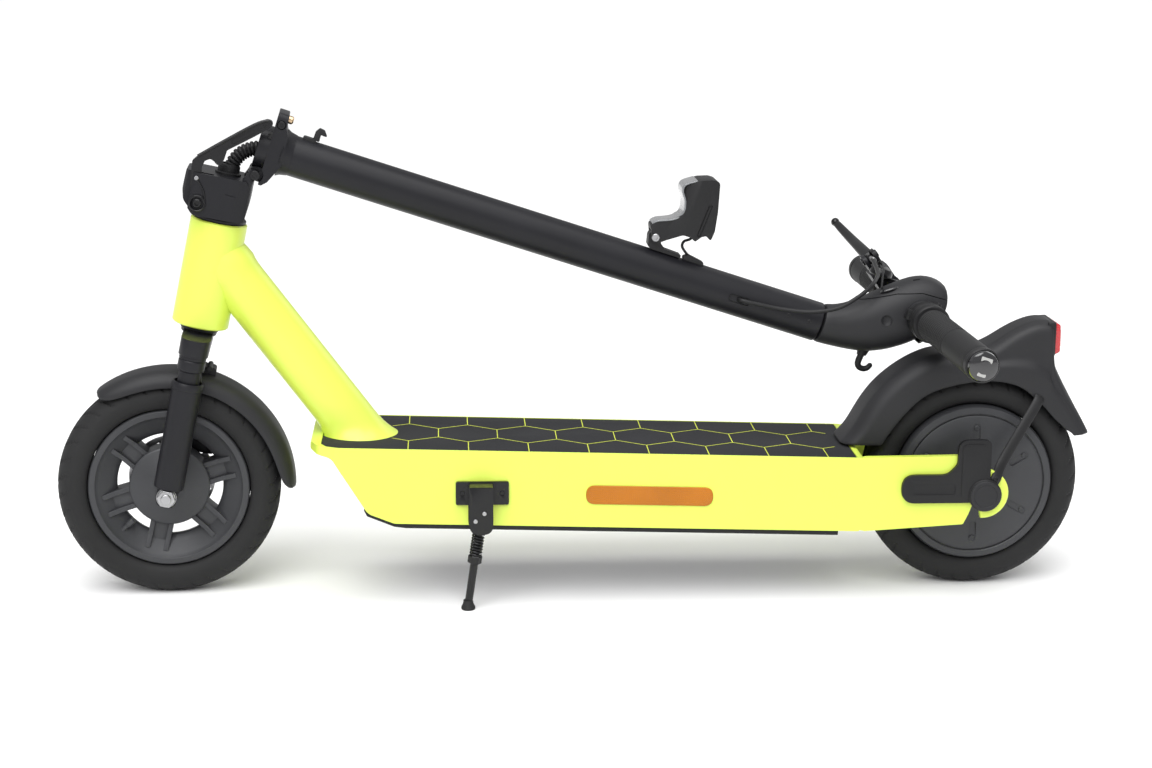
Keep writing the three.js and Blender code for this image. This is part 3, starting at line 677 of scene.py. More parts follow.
def make_tail_light():
    """The red lens at the rear of the mudguard's hump, in its holder."""
    housing = rounded([(1014, 315.2), (1023.6, 315.6), (1023.6, 276), (1014, 275)], 2)
    lens = rounded([(1022, 315.4), (1029.4, 311.8), (1030, 280), (1023, 276.4)], [3, 4, 3, 2])
    inner = [prism(rounded([(1028.4, 306), (1030.3, 306), (1030.6, 286), (1028.6, 286)], 1), y - 8, y + 8)
             for y in (-11, 11)]
    piece("tail_light_lens", [prism(lens, -21.5, 21.5)], CHASSIS, RED, "frame", ["tail_light"],
          bevel=1.6, detail=inner)
    piece("tail_light_holder", [prism(housing, -24, 24)], CHASSIS, PLASTIC, "frame",
          bevel=1.2)


def make_stay(side, sign):
    """The flat bar from the mudguard down to the axle cover."""
    route = [(1004, 38, 231), (1000, 43, 224), (978, 55, 192), (957, 66.5, 161), (947, 81.5, 147),
             (943, 82.6, 141)]
    line = smooth_line([(x, sign * y, z) for x, y, z in route], 6)
    screw = bolt((946, sign * 83.2, 145), (0, sign, 0), 3.4, 2.2)
    piece(f"mudguard_stay_bar_{side}", [pipe(line, 6.2, 20, (0, 1, 0), 0.34)], CHASSIS, PLASTIC, "frame",
          [f"mudguard_stay_{side}"], detail=[screw])


# ---------------------------------------------------------------- wheels

def tyre_mesh():
    """A tyre with slanted tread cuts: points of a regular grid are sunk where a cut runs."""
    half = smooth_line([(92.4, 15, 0), (93.4, 21.5, 0), (97, 25.6, 0), (105, 28, 0), (113, 27, 0),
                        (119.5, 23, 0), (124, 17.2, 0), (126.5, 10, 0), (127, 3.5, 0)], 5)
    half = [(p.x, p.y) for p in half]
    profile = mirrored(half)
    blocks, sides, cut_depth, cut_share, tread_start = 36, 432, 1.6, 0.17, 110
    loops = []
    for r, y in profile:
        loop = []
        for i in range(sides):
            turn = i / sides
            cut = 0.0
            if r > tread_start and abs(y) > 5:
                phase = (turn * blocks + 0.04 * abs(y) + (0.5 if y > 0 else 0)) % 1
                cut = cut_depth if phase < cut_share else 0.0
            if 112.5 < r < 115 or 98.5 < r < 100:
                cut = 0.5
            if abs(y) < 4.5 and r > 126.7:
                cut = 1.3
            loop.append(circle_point("y", r - cut, 2 * math.pi * turn, y, (0, 0)))
        loops.append(loop)
    return loft(loops, closed=True)


def make_wheels():
    """Both tyres, the hub motor, the front rim and its brake disc."""
    for name, at, body in (("front", FRONT, "front_wheel"), ("rear", REAR, "rear_wheel")):
        piece(f"{name}_tyre_rubber", [tyre_mesh()], at, TYRE, body, [f"{name}_tyre"],
              angle=28)
    make_motor()
    make_front_rim()
    make_brake_disc()


def make_motor():
    """The hub motor: a stepped drum with keyholes and screws in both faces."""
    half = [(6.5, 45), (15, 45), (17, 43.5), (18, 39), (24, 37.4), (60, 35.2), (79, 33.4), (80.6, 32.6),
            (81, 31)]
    half += [(82, 31), (82.4, 33.2), (83.4, 33.8), (90, 32.2), (92, 29), (92, 22)]
    profile = mirrored(half)
    keyholes, screws = [], []
    for i in range(6):
        for sign in (-1, 1):
            track = rectangle(-4.2, 4.2, 46, 71, 4.1, 8)
            slot_shape = prism(track, *span(sign, 33.8, 44))
            keyholes.append(spun(slot_shape, "Y", 60 * i))
            bed = rod("y", 3.3, *span(sign, 33, 34.8), (0, 66), 32, edge=0.4)
            screws.append(spun(bed, "Y", 60 * i))
            head = bolt((0, sign * 34.2, 66), (0, sign, 0), 2.7, 1.0)
            screws.append(spun(head, "Y", 60 * i))
    piece("hub_motor", [lathe(profile, "y", 144, closed=True)], REAR, ALLOY, "rear_wheel",
          ["motor_hub"], cut=keyholes, detail=screws)


def make_front_rim():
    """A dished rim with six double ribs, its hub and its valve."""
    half = [(92, 21), (90.5, 22.8), (84.2, 22.6), (83.2, 21.2), (80, 18.6), (66, 8), (61.5, 5), (60.5, 3.6)]
    dish = mirrored(half)
    hub = [(6.5, 20), (15, 20), (17, 18.6), (20, 16.6), (43.5, 14.6), (46, 13), (46, 0)]
    hub_profile = [*hub, *[(r, -y) for r, y in reversed(hub[:-1])]]
    shapes = [lathe(dish, "y", 128, closed=True), lathe(hub_profile, "y", 96, closed=True)]
    spokes, valve_turn = 6, -43
    for i in range(spokes):
        turn = 60 * i - 17
        for offset in (-10.5, 10.5):
            rib = [(40, -11.5), (62, -12.5), (77, -18), (77, 18), (62, 12.5), (40, 11.5)]
            bar = prism(rounded(rib, 1.5, 2), offset - 2.8, offset + 2.8, "z")
            shapes.append(spun(bar, "Y", turn))
        web = prism(rectangle(44, 72, -8.4, 8.4, 2, 3), -10, 10, "z")
        shapes.append(spun(web, "Y", turn))
    valve = [rod("x", 2.8, -81, -64, (-13, 0), 24), rod("x", 4, -68, -58, (-13, 0), 24)]
    shapes += [spun(stub, "Y", valve_turn) for stub in valve]
    piece("front_rim_casting", shapes, FRONT, ALLOY, "front_wheel", ["front_rim"], bevel=0.7)


def make_brake_disc():
    """The drilled brake band, its six arms and its carrier."""
    band = [(34, 26.1), (49.4, 26.1), (50, 27), (49.4, 27.9), (34, 27.9)]
    holes = [spun(rod("y", 2, 20, 32, (38 + 3.6 * (i % 3), 0), 16, edge=0.2), "Y", 10 * i)
             for i in range(36)]
    arms = []
    for i in range(6):
        arms.append(spun(prism(rectangle(20, 36, -5, 5, 2, 3), 26.2, 27.8), "Y", 60 * i))
    carrier = lathe([(9.5, 20.6), (25, 20.6), (26, 22), (26, 27.6), (9.5, 27.6)], "y", closed=True)
    piece("brake_disc_steel", [lathe(band, "y", 128, closed=True)], FRONT, STEEL, "front_wheel",
          ["brake_disc"], cut=holes, detail=[*arms, carrier])


# ---------------------------------------------------------------- fork and front end

def make_fork():
    """The fork's crown and the steerer column above it."""
    crown_half = [(16.6 * math.cos(a), -LEG_OFFSET + 16.6 * math.sin(a)) for a in
                  [math.radians(-180 + 15 * k) for k in range(13)]]
    crown = [*crown_half, *[(-x, -y) for x, y in crown_half]]
    neck = rod("z", 20, 182, 189.5, sides=72, end_radius=21)
    piece("fork_crown_forging", [prism(crown, 166, 185.5, "z")], STEERING, BLACK_PAINT, "steering",
          ["fork_crown"], bevel=3.2, joined=[neck])
    piece("steerer_column", [lathe([(12, 186.5), (15.7, 186.5), (15.7, 349), (12, 349)], "z", closed=True)],
          STEERING, ALLOY, "steering", ["steerer_tube"])


def make_fork_legs():
    """On each side, a slim upper tube that slides in a wider lower leg."""
    for side, sign in (("left", -1), ("right", 1)):
        centre = (0, sign * LEG_OFFSET)
        upper = [(10, 60), (12.4, 60.6), (12.5, 147), (15, 149), (15.3, 151), (15.3, 160), (14.4, 161.2),
                 (15.3, 162.4), (15.3, 165.6)]
        piece(f"stanchion_{side}", [lathe([*upper, (10, 165.8)], "z", 72, centre, closed=True)], STEERING,
              BLACK_PAINT, "steering", [f"fork_stanchion_{side}"])
        leg = [(0, 9), (15.8, 9), (17, 10.2), (17, 126), (17.8, 127), (18, 133), (17, 135), (15.4, 135),
               (15.2, 133)]
        leg += [(15.2, 40), (0, 40)]
        near, far = span(sign, 40, 60)
        toe = prism(rounded([(-12, -13), (12, -13), (12, 18), (-12, 18)], [11, 11, 2, 2]), near, far)
        bore = rod("y", 6.3, -80, 80)
        piece(f"fork_leg_tube_{side}", [lathe(leg, "z", 96, centre)], STEERING, BLACK_PAINT, "fork_lower",
              [f"fork_leg_{side}"], detail=[worked(toe, cut=[bore], bevel=1.0)])


def make_front_axle():
    """The front axle with a washer, a nut, a flange and a sleeve on each side."""
    shapes = [rod("y", 6, -71.5, 71.5)]
    for sign in (-1, 1):
        washer = lathe([(6, sign * 60.2), (11.4, sign * 60.2), (11.4, sign * 62), (6, sign * 62)], "y",
                       closed=True)
        hexagon = [(10.4 * math.cos(math.radians(60 * k)), 10.4 * math.sin(math.radians(60 * k)))
                   for k in range(6)]
        nut = prism(rounded(hexagon, 0.8, 2), *span(sign, 62.1, 68.5))
        flange = lathe([(6, sign * 62), (11, sign * 62), (10, sign * 64), (6, sign * 64)], "y", closed=True)
        sleeve_end = 20.6 if sign < 0 else 28.6
        sleeve = rod("y", 9, *span(sign, sleeve_end, 40))
        shapes += [washer, nut, flange, sleeve]
    piece("front_axle_and_nuts", shapes, STEERING, STEEL, "fork_lower", ["front_axle"], bevel=0.5)


def make_front_fender():
    """Sections about the wheel: the skirt is deepest in the middle and runs out at both tips."""
    first, last, outer = 11.0, 138.0, 142.0
    centre = Vector((3.5, 0, -3))
    count = 40
    loops = []
    for i in range(count + 1):
        share = i / count
        angle = math.radians(first + (last - first) * share)
        tip = math.sqrt(max(0.02, 1 - abs(2 * share - 1) ** 9))
        width = 31.5 * (0.62 + 0.38 * tip)
        skirt = 3.5 + 15.5 * tip
        out = Vector((math.cos(angle), 0, math.sin(angle)))

        def half_section(inset):
            flank = width - inset
            points = [(0, inset), (0.4 * flank, inset + 0.2), (0.62 * flank, inset + 1.2),
                      (0.8 * flank, inset + 4.0)]
            points += [(0.93 * flank, inset + 0.45 * skirt), (flank, 0.72 * skirt + inset * 0.5),
                       (flank, skirt)]
            return points
        top, under = half_section(0), half_section(2.2)
        section = [(-y, d) for y, d in reversed(top)] + top[1:] + list(reversed(under))
        section += [(-y, d) for y, d in under[1:]]
        loops.append([centre + out * (outer - d) + Vector((0, y, 0)) for y, d in section])
    piece("front_fender_shell", [loft(loops)], STEERING, SOFT_PLASTIC, "fork_lower",
          ["front_fender"], smooth=1, angle=60)


def make_fender_brace():
    """The arch that holds the front mudguard between the fork's legs."""
    arch = [(8, -47, 118), (8, -36, 134), (5, -26, 143), (3, 0, 147), (5, 26, 143), (8, 36, 134),
            (8, 47, 118)]
    brace = pipe(smooth_line(arch, 8), 6.5, 16, (1, 0, 0))
    lug = prism(rectangle(4, 28, 128, 146, 4), -10, 10)
    guide = rod("y", 3.2, -14, 14, (20, 145), 32)
    piece("fender_brace", [brace], STEERING, PLASTIC, "fork_lower", detail=[lug, guide])


def make_caliper():
    """The brake caliper astride the disc."""
    body = prism(rounded([(14, 36), (40, 36), (44, 44), (44, 60), (38, 64), (14, 64)], 3), 22.7, 31.7)
    slot_shape = prism([(0, 30), (56, 30), (58, 62), (0, 62)], 25, 29.2)
    bolts = [bolt((x, 31.5, z), (0, 1, 0), 3.5, 2.4) for x, z in ((20, 42), (36, 58))]
    piece("brake_caliper_body", [body], STEERING, BLACK_PAINT, "fork_lower",
          ["brake_caliper"], bevel=1.2, cut=[slot_shape], detail=bolts)


# ---------------------------------------------------------------- fold

def make_hinge_block():
    """The block on the steerer that the stem folds on."""
    side = rounded([(-45, 367), (-46, 345), (-43, 333), (-30, 319.6), (27, 319.6), (30, 344), (30, 356),
                    (22, 367)], [1.5, 20, 14, 8, 5, 10, 6, 3])
    plan = rounded([(-46, -20), (-35, -37), (14, -37), (30, -29), (30, 29), (14, 37), (-35, 37), (-46, 20)],
                   [8, 14, 18, 12, 12, 18, 14, 8])
    knuckles = []
    for low, high in ((-30, -14), (14, 30)):
        knuckles.append(rod("y", 8.5, low, high, HINGE_AXIS, 48))
        outline = [(14, 360), (24.5, 381.5), (30, 383), (34, 368.5), (30, 356)]
        knuckles.append(prism(rounded(outline, 2), low + 0.01, high - 0.01))
    slot_shape = prism(rectangle(-50, -14, 318, 400, 0.5), -33.9, -25.2)
    socket = rod("z", 16.2, 300, 349.4)
    channel = rod("z", 8.6, 340, 400)
    bore = rod("y", 4.3, -50, 50, HINGE_AXIS)
    knuckle_gap = rod("y", 9.6, -13.8, 13.8, HINGE_AXIS)
    seam = prism([(2, 349.6), (31, 347.4), (31, 346.6), (2, 348.8)], -40, -36.2)
    piece("hinge_block_casting", [prism(side, -37, 37)], STEERING, BLACK_PAINT, "steering",
          ["hinge_block"], bevel=1.1, common=[prism(plan, 300, 380, "z")], joined=knuckles,
          cut=[slot_shape, socket, channel, bore, knuckle_gap, seam])


def make_hinge_pin_and_nut():
    """The hinge's pin with its heads, and the nut that the conduit leaves from."""
    nut = lathe([(8.7, 366), (14.5, 366), (14.5, 369), (12.4, 370), (12.4, 376), (11, 378.8),
                 (8.7, 378.8)], "z", 64, closed=True)
    piece("conduit_nut", [nut], STEERING, PLASTIC, "steering")
    pin_ends = [bolt((hinge_point.x, 30 * sign, hinge_point.z), (0, sign, 0), 5.5, 1.6) for sign in (-1, 1)]
    piece("hinge_pin_shaft", [rod("y", 4, -30, 30, HINGE_AXIS, 48)], STEERING, BLACK_GLOSS,
          "steering", ["hinge_pin"], detail=pin_ends)


def make_lever_spring():
    """The fold lever's torsion spring, its pivot screw and a small screw in the block."""
    coil = []
    for k in range(91):
        angle = math.radians(12 * k)
        coil.append(circle_point("y", 8.2, angle, -37.4 - 2.6 * k / 90, LEVER_AXIS))
    leg_end = (LEVER_X - 4, -37.6, LEVER_Z + 26)
    spring_leg = [(LEVER_X + 8.2, -37.4, LEVER_Z), (LEVER_X + 5, -37.5, LEVER_Z + 14), leg_end]
    spring = [pipe(coil, 1.1, 10), pipe(smooth_line(spring_leg), 1.1, 10)]
    piece("lever_spring", spring, STEERING, BLACK_GLOSS, "steering")
    pivot_head = bolt((LEVER_X, -37.2, LEVER_Z), (0, -1, 0), 5.0, 4.0)
    piece("lever_pivot_screw", [pivot_head], STEERING, BLACK_GLOSS, "steering")
    stop_screw = bolt((-32, -36.9, 361), (0, -1, 0), 2.4, 0.8)
    piece("hinge_block_screw", [stop_screw], STEERING, STEEL, "steering")


def make_fold_lever():
    """The long hooked lever on the hinge block's side."""
    back = [(-19, 340), (-27, 360), (-28.5, 373), (-26.5, 381), (-21, 384.5), (-16.5, 382.5),
            (-13, 379.2), (-8, 380)]
    under = [(-6, 387), (-4.7, 397.3), (10.2, 409), (22, 418.5), (34, 428.6)]
    tip = [(39.6, 434.5), (37.6, 439.4), (32, 439.8), (19.3, 432.4), (-10, 408), (-34, 386.5)]
    front = [(-40, 379), (-39, 362), (-36, 345), (-34, 330)]
    outline = rounded([*back, *under, *tip, *front], 3.5, 3)
    hub = rod("y", 9, -33.5, -25.7, LEVER_AXIS, 48)
    bore = rod("y", 3.3, -50, 0, LEVER_AXIS, 32)
    pocket = prism(rounded([(0, 404.5), (22, 422), (20, 428), (-3, 409.5)], 2), -36, -32.2)
    screws = [bolt((q, -33, z), (0, -1, 0), 1.9, 1.0) for q, z in ((26, 427.5), (31, 432))]
    rim = [(-35, 384.8), (-10, 406.6), (19, 430.8), (32, 438.2), (37, 437.4)]
    edge = pipe(smooth_line([(q, -33, z) for q, z in rim], 8), 1.8, 12)
    piece("fold_lever_plate", [prism(outline, -33.5, -25.7)], STEERING, BLACK_GLOSS, "fold_lever",
          ["fold_lever"], bevel=1.0, joined=[hub], cut=[bore, pocket],
          detail=[*screws, edge])


def make_conduit():
    """A corrugated tube along a bent route: ribs come from a radius that swells along it."""
    route = [(2, 0, 373), (4.5, 0, 383), (10.5, 0, 392.5), (19, 0, 399), (29.5, 0, 402.6), (42, 0, 403.4)]
    line = smooth_line(route, 26)
    ribs = 13
    per_rib = len(line) / ribs
    radii = []
    for i in range(len(line)):
        phase = (i / per_rib) % 1
        radii.append(6.9 + 1.6 * min(1, max(0, 1.6 * math.sin(math.pi * phase) - 0.25)))
    made = piece("cable_conduit_tube", [pipe(line, radii, 32)], STEERING, PLASTIC, None,
                 ["cable_conduit"], angle=50)
    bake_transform(made)


def make_stem_flange():
    """The stem's lower flange with its cone, centre knuckle, latch bolt and button."""
    side = [(5.6, 75), (17.5, 75), (18.5, 60), (23, 50), (24, 16), (15, -4), (9.5, -9.5), (6, -9.5)]
    front = rounded([(-25, -17), (25, -17), (25, 75), (-25, 75)], [7, 7, 8, 8])
    plate_shape = worked(prism(rounded(side, [2, 3, 4, 8, 8, 4, 2, 1]), -25, 25),
                         common=[prism(front, 0, 30, "x")])
    ring = rod("x", 25, -6.9, 7, (0, STEM_CENTRE), 72)
    cone = lathe([(20, 20), (27.5, 21), (25, 25.5), (23.4, 33), (20, 33)], "x", 96, (0, STEM_CENTRE),
                 closed=True)
    knuckle = rod("y", 8, -13.4, 13.4, (0, 0), 48)
    web = prism(rectangle(0, 9, -8, 8, 1), -13.4, 13.4)
    centre_knuckle = worked(knuckle, joined=[web], cut=[rod("y", 4.3, -50, 50, (0, 0), 48)])
    ears = [rod("y", 9.3, *span(sign, 13.6, 40), (0, 0), 48) for sign in (-1, 1)]
    inside = rod("x", 15, -20, 6.2, (0, STEM_CENTRE), 64)
    bore = rod("x", 12.5, -20, 50, (0, STEM_CENTRE), 64)
    pin_bore = rod("y", 4.3, -50, 50, (0, 0), 48)
    screw_bed = rod("y", 5.2, -30, -22, (12, 62), 32)
    piece("stem_flange_casting", [plate_shape], STEM, BLACK_PAINT, "stem", ["stem_flange"],
          bevel=1.3, joined=[ring, cone], cut=[inside, bore, *ears, pin_bore, screw_bed],
          detail=[centre_knuckle])
    piece("flange_screw", [bolt((12, -24.6, 62), (0, -1, 0), 4.3, 1.4)], STEM, BLACK_GLOSS, "stem")
    latch = [bolt((17.4, -12, 69), (1, 0, 0), 4.6, 6.0), rod("x", 2.6, 16.5, 18, (-12, 69), 24)]
    piece("latch_bolt", latch, STEM, BRASS, "stem")
    button = lathe([(0, 6.2), (4.6, 6.2), (4.6, 2.6), (4.0, 1.6), (0, 1.2)], "x", 48, (-19, 46))
    piece("flange_button", [button], STEM, PLASTIC, "stem")


# ---------------------------------------------------------------- stem and head

def make_stem():
    """The stem's tube with its cable port, two screws and the catch."""
    wall = [(20, 16.5), (STEM_RADIUS, 16.5), (STEM_RADIUS, 670.6), (STEM_RADIUS - 0.8, 671.6), (20, 671.6)]
    port = prism(rectangle(556, 582, STEM_CENTRE - 4.5, STEM_CENTRE + 4.5, 4.4, 8), -40, -21)
    piece("stem_tube_shell", [lathe(wall, "x", 160, (0, STEM_CENTRE), closed=True)], STEM, BLACK_PAINT,
          "stem", ["stem_tube"], cut=[port])
    grommet = prism(rectangle(556.4, 581.6, STEM_CENTRE - 4.1, STEM_CENTRE + 4.1, 4, 8), -21.7, -19)
    lip = prism(rectangle(557.6, 580.4, STEM_CENTRE - 2.8, STEM_CENTRE + 2.8, 2.7, 8), -25, -20.6)
    piece("cable_port_grommet", [grommet], STEM, GRIP, "stem", bevel=0.5, cut=[lip])

    screws = [bolt((x, -22.6, STEM_CENTRE + 0.2), (0, -1, 0), 2.6, 0.9) for x in (630.7, 656.3)]
    piece("stem_screws", screws, STEM, BLACK_GLOSS, "stem")

    base = prism(rounded([(39, 50), (39, 55.5), (54, 55.5), (54, 50)], [1, 2.4, 2.4, 1]), -7, 7)
    arm = rounded([(50, 54), (50.5, 64), (54, 69), (60, 68), (64.5, 62), (60.5, 61.8), (57, 62.5),
                   (57.5, 54)], 1.6, 4)
    piece("stem_catch", [base], STEM, PLASTIC, "stem", bevel=0.8,
          joined=[prism(arm, -4, 4)])


def head_loops():
    """Slanted sections along the head, from the stem's round end to its blunt nose."""
    sections = [((672.7, 7), (672.7, 53), 23.2, 2.0), ((676, 7.1), (676, 53.3), 23.5, 2.05),
                ((690, 7.6), (688, 56.5), 24.6, 2.1), ((708, 9.2), (702, 65), 26.2, 2.15),
                ((724, 11.2), (715, 76), 27.6, 2.2), ((736, 13.6), (728, 88), 28.6, 2.25),
                ((748, 18.4), (741, 99), 29.4, 2.3), ((760, 24.2), (754, 110), 29.9, 2.35),
                ((772, 32.2), (766, 117), 30, 2.45), ((784, 41.4), (779, 120.8), 29.6, 2.6),
                ((793, 52.5), (791, 120.4), 28.8, 2.8), ((800, 62.7), (799.6, 117.6), 27.6, 3.0),
                ((804.6, 70.4), (803.6, 111), 26.4, 3.0), ((807, 74.4), (806.4, 101), 25.2, 3.0)]
    loops = []
    for low, high, half, power in sections:
        low, high = Vector((low[0], 0, low[1])), Vector((high[0], 0, high[1]))
        loops.append(oval((low + high) / 2, (0, half, 0), (high - low) / 2, power, 64))
    return loops


def make_head():
    """The moulded head at the stem's top, its bar collars and its small window."""
    bar_hole = rod("y", 16.6, -60, 60, BAR_AXIS, 72)
    split = prism([(690, 61.8), (708, 70.4), (745, 92.6), (772, 102.8), (814, 104.4), (814, 103.4),
                   (772, 101.8), (745, 91.6), (708, 69.4), (690, 60.8)], -40, 40)
    slot_cut = prism(rectangle(760, 768, -12, -9, 1.4), 106, 130, "z")
    dimple = lathe([(0, -34), (7, -34), (6.4, -27.2), (4, -25.6), (0, -25.2)], "y", 48, (741.5, 59.5))
    head = piece("head_cover", [loft(head_loops())], STEM, SOFT_PLASTIC, "stem",
                 ["handlebar_head"], smooth=1, angle=42)
    carve_placed(head, [bar_hole, split, slot_cut, dimple], STEM, 42)
    ring = [(16.7, 26), (19.6, 26), (20.2, 27), (20.2, 33), (19.4, 34), (16.7, 34)]
    rings = [lathe([(r, sign * y) for r, y in ring], "y", 96, BAR_AXIS, closed=True) for sign in (-1, 1)]
    piece("head_bar_collars", rings, STEM, SOFT_PLASTIC, "stem")
    emblem = loft([oval((737.5, -11, 92.0), (10, 0, 6.3), (0, 6.2, -1.2), 2, 48),
                   oval((736.6, -11.3, 94.2), (8.6, 0, 5.4), (0, 5.2, -1.0), 2, 48)])
    piece("charge_status_window", [emblem], STEM, WINDOW, "stem", bevel=0.8)


def make_display():
    """The display's glass and the power key beside it, on the head's slanted face."""
    tilt = math.radians(-52)
    face = STEM @ Matrix.Translation((797.5, 0, 58)) @ Matrix.Rotation(tilt, 4, "Y")
    window = prism(rectangle(-16, 16, -24, 24, 5), -2.4, -0.4, "z")
    hole = rod("z", 5.6, -10, 10, (-9, 0), 48)
    piece("display_glass_panel", [window], face, WINDOW, "stem", ["display"], bevel=0.5,
          cut=[hole])
    key = lathe([(0, -2), (5, -2), (5, -4.6), (4.4, -5.2), (3.2, -5.2), (2.6, -4.9), (0, -4.8)], "z", 48,
                (-9, 0))
    piece("power_key", [key], face, PLASTIC, "power_button", ["power_button"])


def make_bag_hook():
    """The curved bag hook, thinner towards its ball end."""
    hook = [(735.5, 0, 13), (735, 0, 7), (734.6, 0, 0.5), (735.6, 0, -4), (739, 0, -6.6),
            (743.5, 0, -6.8), (747.4, 0, -4.8)]
    hook += [(749.4, 0, -1.6)]
    line = smooth_line(hook, 6)
    radii = [4.1 - 0.9 * i / len(line) for i in range(len(line))]
    ball = lathe([(0, -3.4), (2.4, -2.6), (3.4, 0), (2.4, 2.6), (0, 3.4)], "y", 24, (749.6, -1))
    collar = loft([oval((736, 0, 17), (7.5, 0, 1.6), (0, 7, 0), 2.2, 32),
                   oval((735.4, 0, 8.5), (5.6, 0, 0.8), (0, 5.4, 0), 2.2, 32)])
    piece("bag_hook_moulding", [pipe(line, radii, 20)], STEM, PLASTIC, "stem",
          ["bag_hook"], detail=[ball, collar], angle=50)


def carve_placed(made, tools, at, angle):
    """Cuts tools drawn at a place out of a piece that is already in the row frame."""
    for tool in tools:
        tool.transform(at)
        combine(made, tool, "DIFFERENCE")
    made.data.shade_smooth()
    made.data.set_sharp_from_angle(angle=math.radians(angle))


# ---------------------------------------------------------------- handlebar

def grip_mesh(start, end, smooth_from):
    """A rubber sleeve: short ridges in rows on the inner part, smooth beyond a seam."""
    sides, outer, bore, ridge_height, row_pitch = 168, 18.45, 11.4, 1.0, 3
    low, high = sorted((abs(start), abs(end)))
    sign = 1 if end > 0 else -1
    stops = [low, low + 0.5, low + 1.2]
    y = low + 2.4
    while y < smooth_from - 1:
        stops.append(y)
        y += 0.75
    stops += [smooth_from - 0.8, smooth_from, smooth_from + 0.4, smooth_from + 1.4]
    stops += [smooth_from + (high - smooth_from) * k / 8 for k in range(1, 8)]
    stops += [high - 1.2, high - 0.4, high]
    loops = []
    for y in stops:
        loop = []
        edge = 1.2 if y in (low, high) else 0.35 if y in (low + 0.5, high - 0.4) else 0.0
        if abs(y - smooth_from) < 0.5:
            edge = 1.8
        for i in range(sides):
            angle = 2 * math.pi * i / sides
            radius = outer - edge
            if low + 2 < y < smooth_from - 1:
                row = int((y - low) / row_pitch)
                across = (i / sides * 56 + 0.5 * (row % 2)) % 1
                along = ((y - low) % row_pitch) / row_pitch
                radius = 17.4 + (ridge_height if along < 0.62 and across < 0.75 else 0.0)
            loop.append(circle_point("y", radius, angle, sign * y, BAR_AXIS))
        loops.append(loop)
    for y in (high, low):
        turns = [2 * math.pi * i / sides for i in range(sides)]
        loops.append([circle_point("y", bore, angle, sign * y, BAR_AXIS) for angle in turns])
    return loft(loops, closed=True)


def make_handlebar():
    """The handlebar with its middle sleeve, grips and end lights."""
    centre = BAR_AXIS
    sleeve = rod("y", 16, -46, 46, centre, 72)
    piece("handlebar_tube", [rod("y", 11, -268, 268, centre, 64)], STEM, BLACK_PAINT, "stem",
          ["handlebar"], detail=[sleeve])
    for side, sign, start, seam in (("left", -1, 75, 178), ("right", 1, 140, 216)):
        piece(f"grip_sleeve_{side}", [grip_mesh(sign * start, sign * 267, seam)], STEM, GRIP, "stem",
              [f"grip_{side}"], angle=24)
        make_end_light(side, sign, centre)


def make_end_light(side, sign, centre):
    """The round light at one end of the bar: holder, lens and two pale chips."""
    def across(profile):
        return [(r, sign * y) for r, y in profile]
    shell = across([(0, 268.4), (18, 268.4), (18.8, 269.2), (18.8, 277), (17.4, 278.4), (17, 278),
                    (16.6, 276.5), (0, 276)])
    piece(f"end_light_holder_{side}", [lathe(shell, "y", 96, centre)], STEM, PLASTIC, "stem")
    dome = across([(0, 276.2), (16.8, 276.4), (16.9, 279), (15.6, 281.8), (12, 283.6), (6, 284.6),
                   (0, 284.9)])
    piece(f"end_light_lens_{side}", [lathe(dome, "y", 96, centre)], STEM, SMOKED, "stem",
          [f"end_indicator_{side}"])
    for name, low, high, half in (("upper", 3.5, 10.5, 6.5), ("lower", -11, -6.5, 5.0)):
        outline = rectangle(centre[0] - half, centre[0] + half, centre[1] + low, centre[1] + high, 1.6)
        chip = prism(outline, *span(sign, 282.2, 284.3))
        piece(f"end_light_chip_{name}_{side}", [chip], STEM, WHITE_LED, "stem", bevel=0.8)


def make_throttle():
    """The thumb throttle: a ring round the bar with a bent paddle."""
    centre = BAR_AXIS
    ring = [(11.4, -52.2), (21, -52.2), (22, -53.2), (22, -57), (21.2, -58), (22, -59), (22, -70.5),
            (20.8, -72), (11.4, -72)]
    paddle = rounded([(6, -12), (13, -7), (19, -12), (26, -17), (24.4, -22), (18, -24)], 2.2)
    blade = prism([(BAR_X + x, BAR_Z + z) for x, z in paddle], -71.5, -58.5)
    piece("thumb_throttle", [lathe(ring, "y", 96, centre, closed=True)], STEM, PLASTIC, "throttle",
          ["throttle_paddle"], bevel=0.8, joined=[blade])


def make_control_clamp():
    """The clamp beside the throttle."""
    centre = BAR_AXIS
    collar = [(16.2, -36.5), (20.4, -36.5), (21, -37.3), (21, -48.6), (20.2, -49.6), (16.2, -49.6)]
    lug = prism(rectangle(BAR_X - 24.5, BAR_X - 17, BAR_Z - 6, BAR_Z + 6, 2), -48, -38)
    clamp_bolt = bolt((BAR_X + 8, -43, BAR_Z + 20.4), (0.35, 0, 0.94), 3.6, 2.6)
    piece("control_clamp", [lathe(collar, "y", 96, centre, closed=True)], STEM, PLASTIC, "stem",
          bevel=0.5, joined=[lug], detail=[clamp_bolt])


